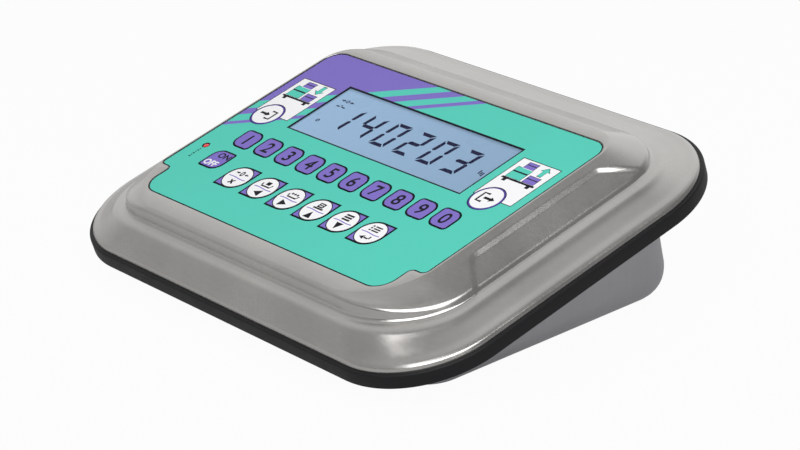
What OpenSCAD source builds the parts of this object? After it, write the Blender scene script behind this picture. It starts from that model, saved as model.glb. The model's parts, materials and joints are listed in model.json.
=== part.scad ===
/* [Panel film] */
// Width of the film at each side of the window
film_side = 37.45; // [36:0.05:40]
// From the number row to the front edge of the film
film_front = 54.5; // [50:0.5:60]
// From the number row to the rear edge of the film
film_rear = 80; // [76:0.5:84]
// Radius of the rear corners of the film
film_rear_r = 9; // [6:0.5:12]
// Radius of the front corners of the film
film_front_r = 10; // [7:0.5:12]
// Width of the step at each front corner of the film
notch_w = 9; // [7.5:0.5:11]
// From the number row to the step in the film
notch_y = 35.5; // [34:0.5:38]
// Radius of the curves of the step
notch_r = 3; // [2:0.25:3.5]
// Thickness of the film
film_t = 0.4; // [0.3:0.05:0.6]
// How far the film lies below the raised steel edge
film_sink = 0.3; // [0.2:0.05:0.5]
// Gap between the film and the steel round it
film_gap = 0.5; // [0.3:0.05:0.6]
// Thickness of the spacer sheet under the film
spacer_t = 1.2; // [1.15:0.05:1.5]
// Thickness of the key circuit
circuit_t = 0.5; // [0.3:0.05:0.8]

/* [Keys] */
// From each side of the film to the number row
number_margin = 18.3; // [17:0.1:20]
// Space between two number keys
number_gap = 3.2; // [3:0.1:4]
// Large corner radius of a number key
number_r = 5.5; // [4:0.25:6]
// Width of the power key
power_w = 14; // [12.5:0.25:15]
// Height of the power key
power_h = 14.4; // [13:0.2:15]
// From the number row to the power key
power_drop = 19.6; // [18:0.2:21]
// From each side of the film to the function row
function_margin = 40.6; // [39:0.1:43]
// Space between two function keys
function_gap = 3.6; // [3.2:0.1:4.5]
// From the number row to the function row
function_drop = 25.4; // [25:0.2:27]
// How far the function row lies right of the centre
function_shift = 0.4; // [0:0.1:1]
// Radius of the two round keys
round_r = 9; // [8:0.25:9.5]
// From the number row to the round keys
round_rise = 21; // [20:0.5:24]
// From the left edge of the film to the middle of the left round key
in_inset = 15.9; // [15:0.1:17]
// From the right edge of the film to the middle of the right round key
out_inset = 21.3; // [20.5:0.1:22]
// Gap between a key and the film round it
key_gap = 0.3; // [0.2:0.05:0.4]
// How far a key stands above the film
key_proud = 0.1; // [0:0.05:0.3]
// Height of a key from its foot to its top
key_h = 1.05; // [1:0.05:1.1]
// How far the foot of a key reaches out under the film
key_foot_w = 0.8; // [0.5:0.1:1]
// Thickness of the foot of a key
key_foot_t = 0.35; // [0.25:0.05:0.4]
// Radius of a snap dome
dome_r = 4; // [3:0.25:5]
// Height of a snap dome
dome_h = 0.2; // [0.1:0.05:0.2]
// Radius of the charge lamp
lamp_r = 1.5; // [1:0.1:2]
// From the left edge of the film to the charge lamp
lamp_inset = 9; // [7:0.5:11]
// From the number row to the charge lamp
lamp_drop = 13.6; // [12:0.2:15]
// Gap round the charge lamp
lamp_gap = 0.2; // [0.1:0.05:0.4]

/* [Display] */
// Width of the window
window_w = 131.7; // [124:0.1:134]
// Height of the window
window_h = 40.2; // [36:0.2:42]
// From the number row to the front edge of the window
window_rise = 18.2; // [17:0.2:20]
// How far the glass reaches out under the film round the window
glass_margin = 2; // [1.5:0.1:2.5]
// Gap between the glass and the film over it
glass_gap = 0.1; // [0.05:0.05:0.3]
// Thickness of the display glass
glass_t = 2; // [1.5:0.1:3]
// Thickness of the backlight
light_t = 4; // [3:0.5:6]
// Wall of the frame round the glass
frame_wall = 1.6; // [1:0.1:2]
// Gap between the glass and its frame
frame_gap = 0.2; // [0.1:0.05:0.4]
// Thickness of the circuit boards
board_t = 1.6; // [1:0.1:2]
// How far the display board reaches past the frame
display_board_margin = 7; // [6.5:0.5:8]

/* [Cover] */
// Thickness of the steel sheet
sheet_t = 1.2; // [1:0.1:1.4]
// Flat steel beside the film
flat_side = 1.2; // [1:0.1:2]
// Flat steel in front of the film
flat_front = 10; // [8:0.5:12]
// Flat steel behind the film
flat_rear = 7; // [6:0.5:9]
// Width of the pressed slope at each side
slope_side = 36; // [34:0.5:39]
// Width of the pressed slope at the front
slope_front = 18.5; // [17.5:0.5:21]
// Width of the pressed slope at the rear
slope_rear = 37.6; // [35:0.2:40]
// Height from the lip to the flat
cover_drop = 22; // [21:0.5:25]
// Corner radius of the flat at the front
flat_front_r = 36; // [30:1:38]
// Corner radius of the flat at the rear
flat_rear_r = 16; // [12:1:18]
// Corner radius of the lip at the front
lip_front_r = 46; // [42:1:50]
// Corner radius of the lip at the rear
lip_rear_r = 50; // [46:1:54]
// Height of the straight skirt below the lip
skirt_h = 6.4; // [5:0.2:8]
// Depth of the pocket in each flank
pocket_depth = 0.9; // [0.4:0.1:1]
// From the number row to the front end of the pocket
pocket_front = 13; // [8:1:16]
// From the number row to the rear end of the pocket
pocket_rear = 64; // [58:1:66]

/* [Seal] */
// How far the rubber stands outside the lip
seal_t = 2.1; // [1.5:0.1:3]
// Open gap between the lip and the top of the rubber
seal_gap = 0.5; // [0.2:0.1:1]
// Thickness of the rubber under the skirt
seal_floor = 1.3; // [1:0.1:2]
// How far the rubber reaches in under the skirt
seal_in = 4; // [3:0.25:4.5]

/* [Case] */
// Angle between the panel and the desk
tilt = 16; // [14:0.5:18]
// From the flat down to the case bottom, at the number row
case_depth = 59.2; // [56:0.2:64]
// Width of the flange at each side
flange_side = 18.5; // [17.5:0.5:20]
// Width of the flange at the front
flange_front = 17; // [16.5:0.5:18]
// Width of the flange at the rear
flange_rear = 27.2; // [26:0.2:29]
// How far the flange stays inside the lip
flange_inset = 0.5; // [0.2:0.1:1]
// Vertical corner radius of the case
case_r = 30; // [26:1:32]
// Radius where the flange turns into the wall
root_r = 2; // [1:0.25:2]
// Height of the rubber feet
foot_h = 3; // [2.4:0.2:5]
// Radius of the rubber feet at the floor
foot_r = 7.5; // [6:0.5:8]
// From the side of the flat bottom to the feet
foot_side_gap = 9; // [9:0.5:14]
// From the front of the flat bottom to the feet
foot_front_gap = 16; // [12:0.5:20]
// From the rear of the flat bottom to the feet
foot_rear_gap = 10.5; // [9:0.5:14]

/* [Fasteners] */
// Radius of the shank of the case screws
screw_r = 2; // [1.8:0.1:2.2]
// Radius of the head of the case screws
screw_head_r = 3.6; // [3.2:0.1:3.8]
// Height of the head of the case screws
screw_head_h = 2.2; // [1.6:0.1:2.6]
// Radius of the shank of the small screws
small_screw_r = 1.25; // [1.1:0.05:1.5]
// Radius of the head of the small screws
small_head_r = 2.4; // [2.2:0.1:2.6]
// Height of the head of the small screws
small_head_h = 1.6; // [1.2:0.1:2]
// Clearance of a screw in its thread
thread_gap = 0.05; // [0.03:0.01:0.08]
// Clearance of a screw in a plain hole
hole_gap = 0.25; // [0.2:0.05:0.4]
// Radius of the threaded bushes
bush_r = 4.5; // [4:0.1:4.6]
// From the lip to the axis of the bushes
bush_inset = 9.5; // [9.4:0.1:9.8]
// From the side of the lip to the bushes at the front and rear
bush_corner = 68.5; // [60:0.5:74]
// From the front of the film to the front bushes at the sides
bush_front_inset = 30.5; // [26:0.5:34]
// From the rear of the film to the rear bushes at the sides
bush_rear_inset = 22; // [20:0.5:28]

/* [Mounting bushes] */
// Spacing of the mounting bushes across
mount_x = 75; // [70:1:80]
// Spacing of the mounting bushes front to rear
mount_y = 75; // [70:1:80]
// Radius of the mounting threads
mount_hole_r = 2.1; // [2:0.05:2.3]
// Radius of the spigot of a bush
mount_spigot_r = 3.5; // [3.2:0.1:3.8]
// Radius of the shoulder of a bush
mount_shoulder_r = 5; // [4.5:0.1:5.5]
// Height of a mounting bush inside the case
mount_bush_h = 5.6; // [5:0.2:6]

/* [Cable glands] */
// Number of cable glands
gland_count = 4; // [3:1:4]
// Pitch of the cable glands
gland_pitch = 32; // [29:1:34]
// From the side of the case to the first gland
gland_inset = 44; // [42:1:47]
// Radius of the gland thread
gland_thread_r = 8; // [7.5:0.1:8.2]
// Radius of the gland hexagon
gland_hex_r = 11; // [10.5:0.1:11.5]
// Height of the gland hexagon
gland_hex_h = 4; // [3:0.2:5]
// Height of the cap nut
gland_nut_h = 13; // [11:0.5:14]
// Radius of the cable bore
cable_r = 3.5; // [3:0.1:4]
// Length of the cable bore in the seal
cable_seal_l = 6; // [5:0.25:6.5]
// Height of the locknut
locknut_h = 4; // [3:0.2:5]
// Radius of the vent plug
vent_r = 7; // [6:0.2:8]
// Height of the vent plug
vent_h = 6; // [4:0.5:8]
// From the side of the case to the vent plug
vent_inset = 62; // [56:1:66]

/* [Inside] */
// Height of the standoffs of the main board
standoff_h = 8; // [7:0.5:10]
// Radius of the standoffs
standoff_r = 3; // [2.6:0.1:3.4]
// From the side of the flat bottom to the main board
board_side_gap = 7; // [6:0.5:12]
// From the front of the flat bottom to the main board
board_front_gap = 44; // [38:1:50]
// From the rear of the flat bottom to the main board
board_rear_gap = 14.5; // [12:0.5:18]
// From the battery pack to the main board
board_battery_gap = 13; // [12:0.5:18]
// From the edge of the board to its screws
board_screw_inset = 5; // [4:0.5:6]
// Width of the battery pack
battery_w = 36; // [34:1:38]
// Height of the battery pack
battery_h = 32; // [28:1:34]
// From the side of the flat bottom to the battery pack
battery_side_gap = 2; // [1.5:0.5:4]
// From the front of the flat bottom to the battery pack
battery_front_gap = 32; // [28:1:36]
// From the rear of the flat bottom to the battery pack
battery_rear_gap = 20.5; // [18:0.5:24]
// Width of the battery bracket
bracket_w = 20; // [16:1:24]
// Thickness of the battery bracket
bracket_t = 1; // [0.8:0.1:1.2]
// Width of the keypad tail and of the display ribbon
ribbon_w = 18; // [14:1:20]
// Thickness of the keypad tail and of the display ribbon
ribbon_t = 0.3; // [0.2:0.05:0.4]

/* [Hidden] */
$fn = 48;

// One overrun for every cut
over = 0.5;
// Segments in one corner of the pressed sheets
corner_steps = 10;
// Points along each straight side of the cover
side_steps = 12;

// Heights below the flat of the cover, in the frame of the panel
film_top = -film_sink;
spacer_top = film_top - film_t;
circuit_top = spacer_top - spacer_t;
well_z = circuit_top - circuit_t;
well_under = well_z - sheet_t;
glass_z = spacer_top - glass_gap;
display_board_top = glass_z - glass_t - light_t;
display_board_under = display_board_top - board_t;
lip_z = -cover_drop;
skirt_z = lip_z - skirt_h;
seal_top = lip_z - seal_gap;
flange_top = skirt_z - seal_floor;
flange_under = flange_top - sheet_t;

// Plan of the film, and pitches of its keys
number_count = 10;
function_count = 6;
film_w = window_w + 2 * film_side;
number_pitch = (film_w - 2 * number_margin) / number_count;
number_size = number_pitch - number_gap;
function_pitch = (film_w - 2 * function_margin) / function_count;
function_size = function_pitch - function_gap;

// Plan of the flat and of the lip
flat_x = film_w / 2 + flat_side;
flat_y0 = film_front + flat_front;
flat_y1 = film_rear + flat_rear;
lip_x = flat_x + slope_side;
lip_y0 = flat_y0 + slope_front;
lip_y1 = flat_y1 + slope_rear;

// Plan of the case under the flange
case_x = lip_x - flange_side;
case_y0 = lip_y0 - flange_front;
case_y1 = lip_y1 - flange_rear;
case_front_r = case_r / 1.5;

// The panel's frame, turned by tilt, with its floor and centre found from the seal and the feet
seat_z = foot_h + case_depth * cos(tilt);
reach_front = -(lip_y0 + seal_t) * cos(tilt) - seal_top * sin(tilt);
reach_rear = (lip_y1 + seal_t) * cos(tilt) - flange_top * sin(tilt);
seat_y = (reach_front + reach_rear) / 2;
floor_z = foot_h + sheet_t * cos(tilt);

module on_panel() {
    translate([0, -seat_y, seat_z]) rotate([tilt, 0, 0]) children();
}

// A point of the panel's frame as a point of the part's frame, both [y, z]
function placed(p) = [p[0] * cos(tilt) - p[1] * sin(tilt) - seat_y,
    p[0] * sin(tilt) + p[1] * cos(tilt) + seat_z];

// Depth of the case below the flange at a place of the panel's y
function case_drop(y) = case_depth + flange_under + y * tan(tilt);

// The place in the part's frame of a point of the flat bottom, from its y in the panel's frame
function floor_y(y) = y / cos(tilt) + case_depth * sin(tilt) - seat_y;

// Plates and outlines

module rounded_plate(half_w, front, rear, front_r, rear_r) {
    translate([-half_w, front_r - front]) square([2 * half_w, front + rear - front_r - rear_r]);
    translate([front_r - half_w, -front]) square([2 * (half_w - front_r), front_r]);
    translate([rear_r - half_w, rear - rear_r]) square([2 * (half_w - rear_r), rear_r]);
    for (s = [-1, 1]) {
        translate([s * (half_w - front_r), front_r - front]) circle(front_r);
        translate([s * (half_w - rear_r), rear - rear_r]) circle(rear_r);
    }
}

module lip_outline(grow) {
    rounded_plate(lip_x + grow, lip_y0 + grow, lip_y1 + grow, lip_front_r + grow, lip_rear_r + grow);
}

module film_outline(grow) {
    wide = film_w / 2 + grow;
    narrow = wide - notch_w;
    inner_r = notch_r - grow;
    rounded_plate(wide, notch_y + grow, film_rear + grow, notch_r + grow, film_rear_r + grow);
    rounded_plate(narrow, film_front + grow, 0, film_front_r + grow, notch_r);
    for (s = [-1, 1]) {
        difference() {
            translate([s * (narrow + inner_r / 2), -notch_y - grow - inner_r / 2])
                square([inner_r, inner_r], center = true);
            translate([s * (narrow + inner_r), -notch_y - grow - inner_r]) circle(inner_r);
        }
    }
}

// A square with two opposite corners rounded and two left sharp
module leaf(w, h, r, flip) {
    mirror([flip ? 1 : 0, 0, 0]) {
        translate([-w / 2, r - h / 2]) square([w, h - 2 * r]);
        translate([r - w / 2, -h / 2]) square([w - r, r]);
        translate([-w / 2, h / 2 - r]) square([w - r, r]);
        translate([w / 2 - r, h / 2 - r]) circle(r);
        translate([r - w / 2, r - h / 2]) circle(r);
    }
}

// Places of the keys

function number_x(i) = (i - (number_count - 1) / 2) * number_pitch;
function function_x(i) = (i - (function_count - 1) / 2) * function_pitch + function_shift;
function_r_share = 0.495;
in_x = in_inset - film_w / 2;
out_x = film_w / 2 - out_inset;
lamp_x = lamp_inset - film_w / 2;

module number_plan(i, grow) {
    translate([number_x(i), 0])
        leaf(number_size + 2 * grow, number_size + 2 * grow, number_r + grow, false);
}

module power_plan(grow) {
    translate([number_x(0), -power_drop])
        leaf(power_w + 2 * grow, power_h + 2 * grow, number_r + grow, true);
}

module function_plan(i, grow) {
    size = function_size + 2 * grow;
    translate([function_x(i), -function_drop]) leaf(size, size, size * function_r_share, true);
}

module round_plan(x, grow) {
    translate([x, round_rise]) circle(round_r + grow);
}

module all_key_plans(grow) {
    for (i = [0 : number_count - 1]) number_plan(i, grow);
    power_plan(grow);
    for (i = [0 : function_count - 1]) function_plan(i, grow);
    round_plan(in_x, grow);
    round_plan(out_x, grow);
}

module window_plan(grow) {
    translate([-window_w / 2 - grow, window_rise - grow])
        square([window_w + 2 * grow, window_h + 2 * grow]);
}

module lamp_plan(grow) {
    translate([lamp_x, -lamp_drop]) circle(lamp_r + grow);
}

key_top = film_top + key_proud;
key_under = key_top - key_h;

// Keys and the layers of the keypad

module key_cap() {
    translate([0, 0, key_under]) linear_extrude(key_h) children(0);
    translate([0, 0, key_under]) linear_extrude(key_foot_t) children(1);
}

module number_key(i) {
    color([0.45, 0.38, 0.78]) on_panel() key_cap() {
        number_plan(i, 0);
        number_plan(i, key_foot_w);
    }
}

module function_key(i) {
    color([0.95, 0.95, 0.97]) on_panel() key_cap() {
        function_plan(i, 0);
        function_plan(i, key_foot_w);
    }
}

module round_key(x) {
    color([0.95, 0.95, 0.97]) on_panel() key_cap() {
        round_plan(x, 0);
        round_plan(x, key_foot_w);
    }
}

module key_power() {
    color([0.45, 0.38, 0.78]) on_panel() key_cap() {
        power_plan(0);
        power_plan(key_foot_w);
    }
}

module overlay_film() {
    color([0.3, 0.8, 0.74]) on_panel() translate([0, 0, spacer_top]) linear_extrude(film_t)
        difference() {
            film_outline(0);
            all_key_plans(key_gap);
            window_plan(0);
            lamp_plan(lamp_gap);
        }
}

module spacer_sheet() {
    color([0.9, 0.9, 0.88]) on_panel() translate([0, 0, circuit_top]) linear_extrude(spacer_t)
        difference() {
            film_outline(0);
            all_key_plans(key_foot_w + key_gap);
            window_plan(glass_margin + frame_gap);
            lamp_plan(lamp_gap);
        }
}

module key_circuit() {
    color([0.75, 0.6, 0.2]) on_panel() translate([0, 0, well_z]) linear_extrude(circuit_t)
        difference() {
            film_outline(0);
            window_plan(glass_margin + frame_gap);
        }
}

module dome_at(x, y) {
    translate([x, y, circuit_top]) cylinder(r = dome_r, h = dome_h);
}

module snap_domes() {
    color("silver") on_panel() {
        for (i = [0 : number_count - 1]) dome_at(number_x(i), 0);
        dome_at(number_x(0), -power_drop);
        for (i = [0 : function_count - 1]) dome_at(function_x(i), -function_drop);
        dome_at(in_x, round_rise);
        dome_at(out_x, round_rise);
    }
}

module display_window() {
    color([0.75, 0.85, 0.95, 0.4]) on_panel() translate([0, 0, spacer_top])
        linear_extrude(film_t) window_plan(-frame_gap);
}

module led_lens() {
    color("red") on_panel() translate([0, 0, circuit_top])
        linear_extrude(key_top - circuit_top) lamp_plan(0);
}

// The display behind the window

window_mid = window_rise + window_h / 2;
display_board_grow = glass_margin + frame_gap + frame_wall + display_board_margin;
display_post_grow = display_board_grow - display_board_margin / 2;
tail_slot_y = -(film_front + function_drop + function_size / 2) / 2;
tail_slot_gap = 3 * ribbon_t;

module at_display_posts() {
    for (sx = [-1, 1], sy = [-1, 1])
        translate([sx * (window_w / 2 + display_post_grow),
            window_mid + sy * (window_h / 2 + glass_margin), 0]) children();
}

module lcd_glass() {
    color([0.6, 0.72, 0.86]) on_panel() translate([0, 0, glass_z - glass_t])
        linear_extrude(glass_t) window_plan(glass_margin);
}

module display_backlight() {
    color([0.9, 0.92, 0.95]) on_panel() translate([0, 0, display_board_top])
        linear_extrude(light_t) window_plan(glass_margin);
}

module display_frame() {
    color([0.2, 0.2, 0.22]) on_panel() translate([0, 0, display_board_top])
        linear_extrude(well_under - display_board_top) difference() {
            window_plan(glass_margin + frame_gap + frame_wall);
            window_plan(glass_margin + frame_gap);
        }
}

module display_board() {
    color([0.1, 0.4, 0.25]) on_panel() difference() {
        translate([0, 0, display_board_under]) linear_extrude(board_t)
            window_plan(display_board_grow);
        at_display_posts() translate([0, 0, display_board_under - over])
            cylinder(r = small_screw_r + hole_gap, h = board_t + 2 * over);
    }
}

module display_spacers() {
    color("silver") on_panel() at_display_posts() difference() {
        translate([0, 0, display_board_top]) cylinder(r = standoff_r, h = well_under - display_board_top);
        translate([0, 0, display_board_top - over])
            cylinder(r = small_screw_r + thread_gap, h = well_under - display_board_top - sheet_t + over);
    }
}

module display_screws() {
    shank_l = board_t + (well_under - display_board_top) / 2;
    color("silver") on_panel() at_display_posts() {
        translate([0, 0, display_board_under]) cylinder(r = small_screw_r, h = shank_l);
        translate([0, 0, display_board_under - small_head_h]) cylinder(r = small_head_r, h = small_head_h);
    }
}

// The pressed cover

// Shares of the slope's width at the side, front and rear, then of the drop at each
cover_shares = [
    [0, 0, 0, 0, 0, 0],
    [0.11, 0.04, 0.1, 0.11, 0.015, 0.1],
    [0.333, 0.1, 0.32, 0.345, 0.045, 0.34],
    [0.425, 0.15, 0.415, 0.45, 0.1, 0.45],
    [0.453, 0.205, 0.44, 0.585, 0.37, 0.64],
    [0.575, 0.5, 0.56, 0.61, 0.41, 0.71],
    [0.667, 0.66, 0.66, 0.705, 0.56, 0.765],
    [0.847, 0.865, 0.86, 0.84, 0.8, 0.87],
    [0.94, 0.955, 0.95, 0.89, 0.89, 0.905],
    [0.985, 0.985, 0.985, 0.935, 0.935, 0.94],
    [1, 1, 1, 1, 1, 1]];
cover_rings = len(cover_shares);
pocket_last_ring = 3;
// The pocket's edge as a share of the side slope, and how far its ends flare at the step
pocket_edge_share = 0.11;
pocket_front_flare_share = 0.86;
pocket_rear_flare_share = 1.8;

// One side's profile of the cover, as [distance from the flat, height]
function cover_side(k, i) = [cover_shares[i][k] * [slope_side, slope_front, slope_rear][k],
    -cover_shares[i][k + 3] * cover_drop];

// The way into the sheet from a point of that profile
function into_sheet(k, i) =
    let (a = cover_side(k, max(i - 1, 0)), b = cover_side(k, min(i + 1, cover_rings - 1)))
    [b[1] - a[1], a[0] - b[0]] / norm(b - a);

// The same profile on the inner face, no higher than the underside of the keypad well
function cover_under(k, i) =
    let (p = cover_side(k, i) + into_sheet(k, i) * sheet_t) [p[0], min(p[1], well_under)];

// A ring as [half width, front, rear, height at side, front and rear, front radius, rear radius]
function ring_of(side, front, rear, share, inset) = [
    flat_x + side[0], flat_y0 + front[0], flat_y1 + rear[0], side[1], front[1], rear[1],
    flat_front_r + (lip_front_r - flat_front_r) * share - inset,
    flat_rear_r + (lip_rear_r - flat_rear_r) * share - inset];

function cover_ring(i) = ring_of(cover_side(0, i), cover_side(1, i), cover_side(2, i),
    cover_shares[i][0], 0);

function cover_under_ring(i) = ring_of(cover_under(0, i), cover_under(1, i), cover_under(2, i),
    cover_shares[i][0], cover_side(0, i)[0] - cover_under(0, i)[0]);

function eased(t) = (1 - cos(180 * min(max(t, 0), 1))) / 2;
function mixed(a, b, t) = a + (b - a) * eased(t);

// Height lost to the pocket at one place
function pocket_dent(x, y, i) =
    let (u = abs(x) - flat_x - pocket_edge_share * slope_side)
    i > pocket_last_ring ? 0 : pocket_depth
        * eased(u / sheet_t)
        * eased((y + pocket_front + u * pocket_front_flare_share) / (2 * sheet_t) + 1 / 2)
        * eased((pocket_rear + u * pocket_rear_flare_share - y) / (2 * sheet_t) + 1 / 2);

// Points of one ring of the cover, counter-clockwise from the front's right end
function ring_points(g, i) =
    let (x = g[0], front = g[1], rear = g[2], r0 = g[6], r1 = g[7], n = corner_steps, m = side_steps)
    let (right = concat(
        [for (j = [0 : n]) let (a = 90 * j / n - 90)
            [x - r0 + r0 * cos(a), r0 - front + r0 * sin(a), mixed(g[4], g[3], j / n)]],
        [for (j = [1 : m - 1]) [x, (r0 - front) * (1 - j / m) + (rear - r1) * j / m, g[3]]],
        [for (j = [0 : n]) let (a = 90 * j / n)
            [x - r1 + r1 * cos(a), rear - r1 + r1 * sin(a), mixed(g[3], g[5], j / n)]]))
    let (dented = [for (p = right) [p[0], p[1], p[2] - pocket_dent(p[0], p[1], i)]])
    concat(dented, [for (j = [len(dented) - 1 : -1 : 0]) [-dented[j][0], dented[j][1], dented[j][2]]]);

// Triangles between two rings of n points, the first at a, the next at b
function band(a, b, n) = [for (j = [0 : n - 1]) let (k = (j + 1) % n)
    each [[b + k, b + j, a + j], [a + k, b + k, a + j]]];

// A closed sheet from a list of rings; its first and last ring are flat
module ring_sheet(rings) {
    n = len(rings[0]);
    last = (len(rings) - 1) * n;
    polyhedron(points = [for (r = rings) each r],
        faces = concat([[for (j = [n - 1 : -1 : 0]) j]],
            [for (k = [0 : len(rings) - 2]) each band(k * n, (k + 1) * n, n)],
            [[for (j = [0 : n - 1]) last + j]]));
}

function lowered(g, z) = [g[0], g[1], g[2], z, z, z, g[6], g[7]];

module cover_sheet() {
    last = cover_rings - 1;
    ring_sheet(concat(
        [for (i = [0 : last]) ring_points(cover_ring(i), i)],
        [ring_points(lowered(cover_ring(last), skirt_z), last)],
        [ring_points(lowered(cover_under_ring(last), skirt_z), last)],
        [for (i = [last : -1 : 0]) ring_points(cover_under_ring(i), i)]));
}

module front_cover() {
    color([0.7, 0.69, 0.67]) on_panel() difference() {
        cover_sheet();
        translate([0, 0, well_z]) linear_extrude(over - well_z) film_outline(film_gap);
        translate([0, 0, well_under - over]) linear_extrude(sheet_t + 2 * over)
            window_plan(glass_margin + frame_gap);
        translate([-ribbon_w / 2 - tail_slot_gap, tail_slot_y - tail_slot_gap, well_under - over])
            cube([ribbon_w + 2 * tail_slot_gap, 2 * tail_slot_gap + ribbon_t, sheet_t + 2 * over]);
    }
}

// The rubber ring between the cover and the case

module seal_ring() {
    color([0.12, 0.12, 0.13]) on_panel() {
        translate([0, 0, skirt_z]) linear_extrude(seal_top - skirt_z) difference() {
            lip_outline(seal_t);
            lip_outline(0);
        }
        translate([0, 0, flange_top]) linear_extrude(seal_floor) difference() {
            lip_outline(seal_t);
            lip_outline(-seal_in);
        }
    }
}

// The deep-drawn case

// Shares of the depth: how far the wall has come in, and how far down it is
wall_shares = [[0, 0.06], [0.045, 0.62]];
fillet_in_share = 0.33;
fillet_steps = 4;
fillet_shares = [for (j = [1 : fillet_steps]) let (a = 90 * j / fillet_steps)
    [wall_shares[1][0] + fillet_in_share * (1 - cos(a)),
        wall_shares[1][1] + (1 - wall_shares[1][1]) * sin(a)]];

// Points of the case's plan with the outward way at each, as [x, y, nx, ny]
function case_plan(inset) =
    let (x = case_x - inset, front = case_y0 - inset, rear = case_y1 - inset,
        r0 = case_front_r - inset, r1 = case_r - inset, n = corner_steps)
    let (right = concat(
        [for (j = [0 : n]) let (a = 90 * j / n - 90)
            [x - r0 + r0 * cos(a), r0 - front + r0 * sin(a), cos(a), sin(a)]],
        [for (j = [0 : n]) let (a = 90 * j / n)
            [x - r1 + r1 * cos(a), rear - r1 + r1 * sin(a), cos(a), sin(a)]]))
    concat(right, [for (j = [len(right) - 1 : -1 : 0])
        [-right[j][0], right[j][1], -right[j][2], right[j][3]]]);

function case_ring(inset, share, lift) = [for (p = case_plan(inset))
    let (d = case_drop(p[1]), x = p[0] - p[2] * share[0] * d, y = p[1] - p[3] * share[0] * d)
    [x, y, lift + flange_under - (share[1] == 1 ? case_drop(y) : share[1] * d)]];

function flange_ring(z) =
    let (r0 = lip_front_r - flange_inset, r1 = lip_rear_r - flange_inset, n = corner_steps)
    let (x = lip_x - flange_inset, front = lip_y0 - flange_inset, rear = lip_y1 - flange_inset)
    let (right = concat(
        [for (j = [0 : n]) let (a = 90 * j / n - 90)
            [x - r0 + r0 * cos(a), r0 - front + r0 * sin(a), z]],
        [for (j = [0 : n]) let (a = 90 * j / n)
            [x - r1 + r1 * cos(a), rear - r1 + r1 * sin(a), z]]))
    concat(right, [for (j = [len(right) - 1 : -1 : 0]) [-right[j][0], right[j][1], right[j][2]]]);

function root_ring(inset, z) = [for (p = case_plan(inset)) [p[0], p[1], z]];

module case_sheet() {
    turns = concat(wall_shares, fillet_shares);
    last = len(turns) - 1;
    ring_sheet(concat(
        [for (j = [last : -1 : 0]) case_ring(sheet_t, turns[j], sheet_t)],
        [root_ring(sheet_t - root_r, flange_top)],
        [flange_ring(flange_top)],
        [flange_ring(flange_under)],
        [root_ring(-root_r, flange_under)],
        [for (j = [0 : last]) case_ring(0, turns[j], 0)]));
}

// Plan of the flat bottom in the part's frame
bottom_in_share = wall_shares[1][0] + fillet_in_share;
floor_x = case_x - bottom_in_share * case_drop(case_y1);
floor_y0 = floor_y(bottom_in_share * case_drop(-case_y0) - case_y0);
floor_y1 = floor_y(case_y1 - bottom_in_share * case_drop(case_y1));

// The middle of the rear wall and its lean, for what is screwed into it
rear_drop = case_drop(case_y1);
rear_top = [case_y1 - wall_shares[0][0] * rear_drop, flange_under - wall_shares[0][1] * rear_drop];
rear_low = [case_y1 - wall_shares[1][0] * rear_drop, flange_under - wall_shares[1][1] * rear_drop];
rear_mid = (rear_top + rear_low) / 2;
rear_lean = atan2(rear_top[0] - rear_low[0], rear_top[1] - rear_low[1]);
rear_wall_t = sheet_t * (cos(rear_lean) + sin(rear_lean));

// Stands children on the rear wall: +Z leaves the case along the wall's outward way
module at_rear_wall(x) {
    translate([x, rear_mid[0], rear_mid[1]]) rotate([-90 - rear_lean, 0, 0]) children();
}

module at_glands() {
    for (i = [0 : gland_count - 1]) at_rear_wall(i * gland_pitch + gland_inset - case_x) children();
}

vent_x = case_x - vent_inset;

// Places of the case screws, in the frame of the panel
bush_x = lip_x - bush_corner;
side_bush_x = lip_x - bush_inset;
side_bush_ys = [bush_front_inset - film_front, film_rear - bush_rear_inset];

module at_case_screws() {
    for (s = [-1, 1]) {
        translate([s * bush_x, bush_inset - lip_y0, 0]) children();
        translate([s * bush_x, lip_y1 - bush_inset, 0]) children();
        for (y = side_bush_ys) translate([s * side_bush_x, y, 0]) children();
    }
}

module at_feet() {
    for (s = [-1, 1], y = [floor_y0 + foot_front_gap, floor_y1 - foot_rear_gap])
        translate([s * (floor_x - foot_side_gap), y, 0]) children();
}

module at_mounts() {
    for (sx = [-1, 1], sy = [-1, 1]) translate([sx * mount_x / 2, sy * mount_y / 2, 0]) children();
}

module rear_case() {
    color([0.55, 0.55, 0.56]) difference() {
        on_panel() case_sheet();
        on_panel() at_case_screws() translate([0, 0, flange_under - over])
            cylinder(r = screw_r + hole_gap, h = sheet_t + 2 * over);
        on_panel() at_glands() translate([0, 0, -rear_wall_t - over])
            cylinder(r = gland_thread_r + hole_gap, h = rear_wall_t + 2 * over);
        on_panel() at_rear_wall(vent_x) translate([0, 0, -rear_wall_t - over])
            cylinder(r = vent_stem_r + hole_gap, h = rear_wall_t + 2 * over);
        at_feet() translate([0, 0, foot_h - over])
            cylinder(r = screw_r + hole_gap, h = sheet_t + 2 * over);
        at_mounts() translate([0, 0, foot_h - over])
            cylinder(r = mount_spigot_r + thread_gap, h = sheet_t + 2 * over);
    }
}

// Bushes and screws that hold the case to the cover

// Height of the cover's inner face above a point at an inset from the lip, on side k
function cover_profile(k) = [for (i = [0 : cover_rings - 1]) cover_under(k, i)];
function inner_height(k, d) = lookup(d, cover_profile(k));
bush_edge = bush_inset - bush_r;
bush_weld_gap = 0.3;
side_bush_top = inner_height(0, slope_side - bush_edge) - bush_weld_gap;
front_bush_top = inner_height(1, slope_front - bush_edge) - bush_weld_gap;
rear_bush_top = inner_height(2, slope_rear - bush_edge) - bush_weld_gap;

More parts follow.
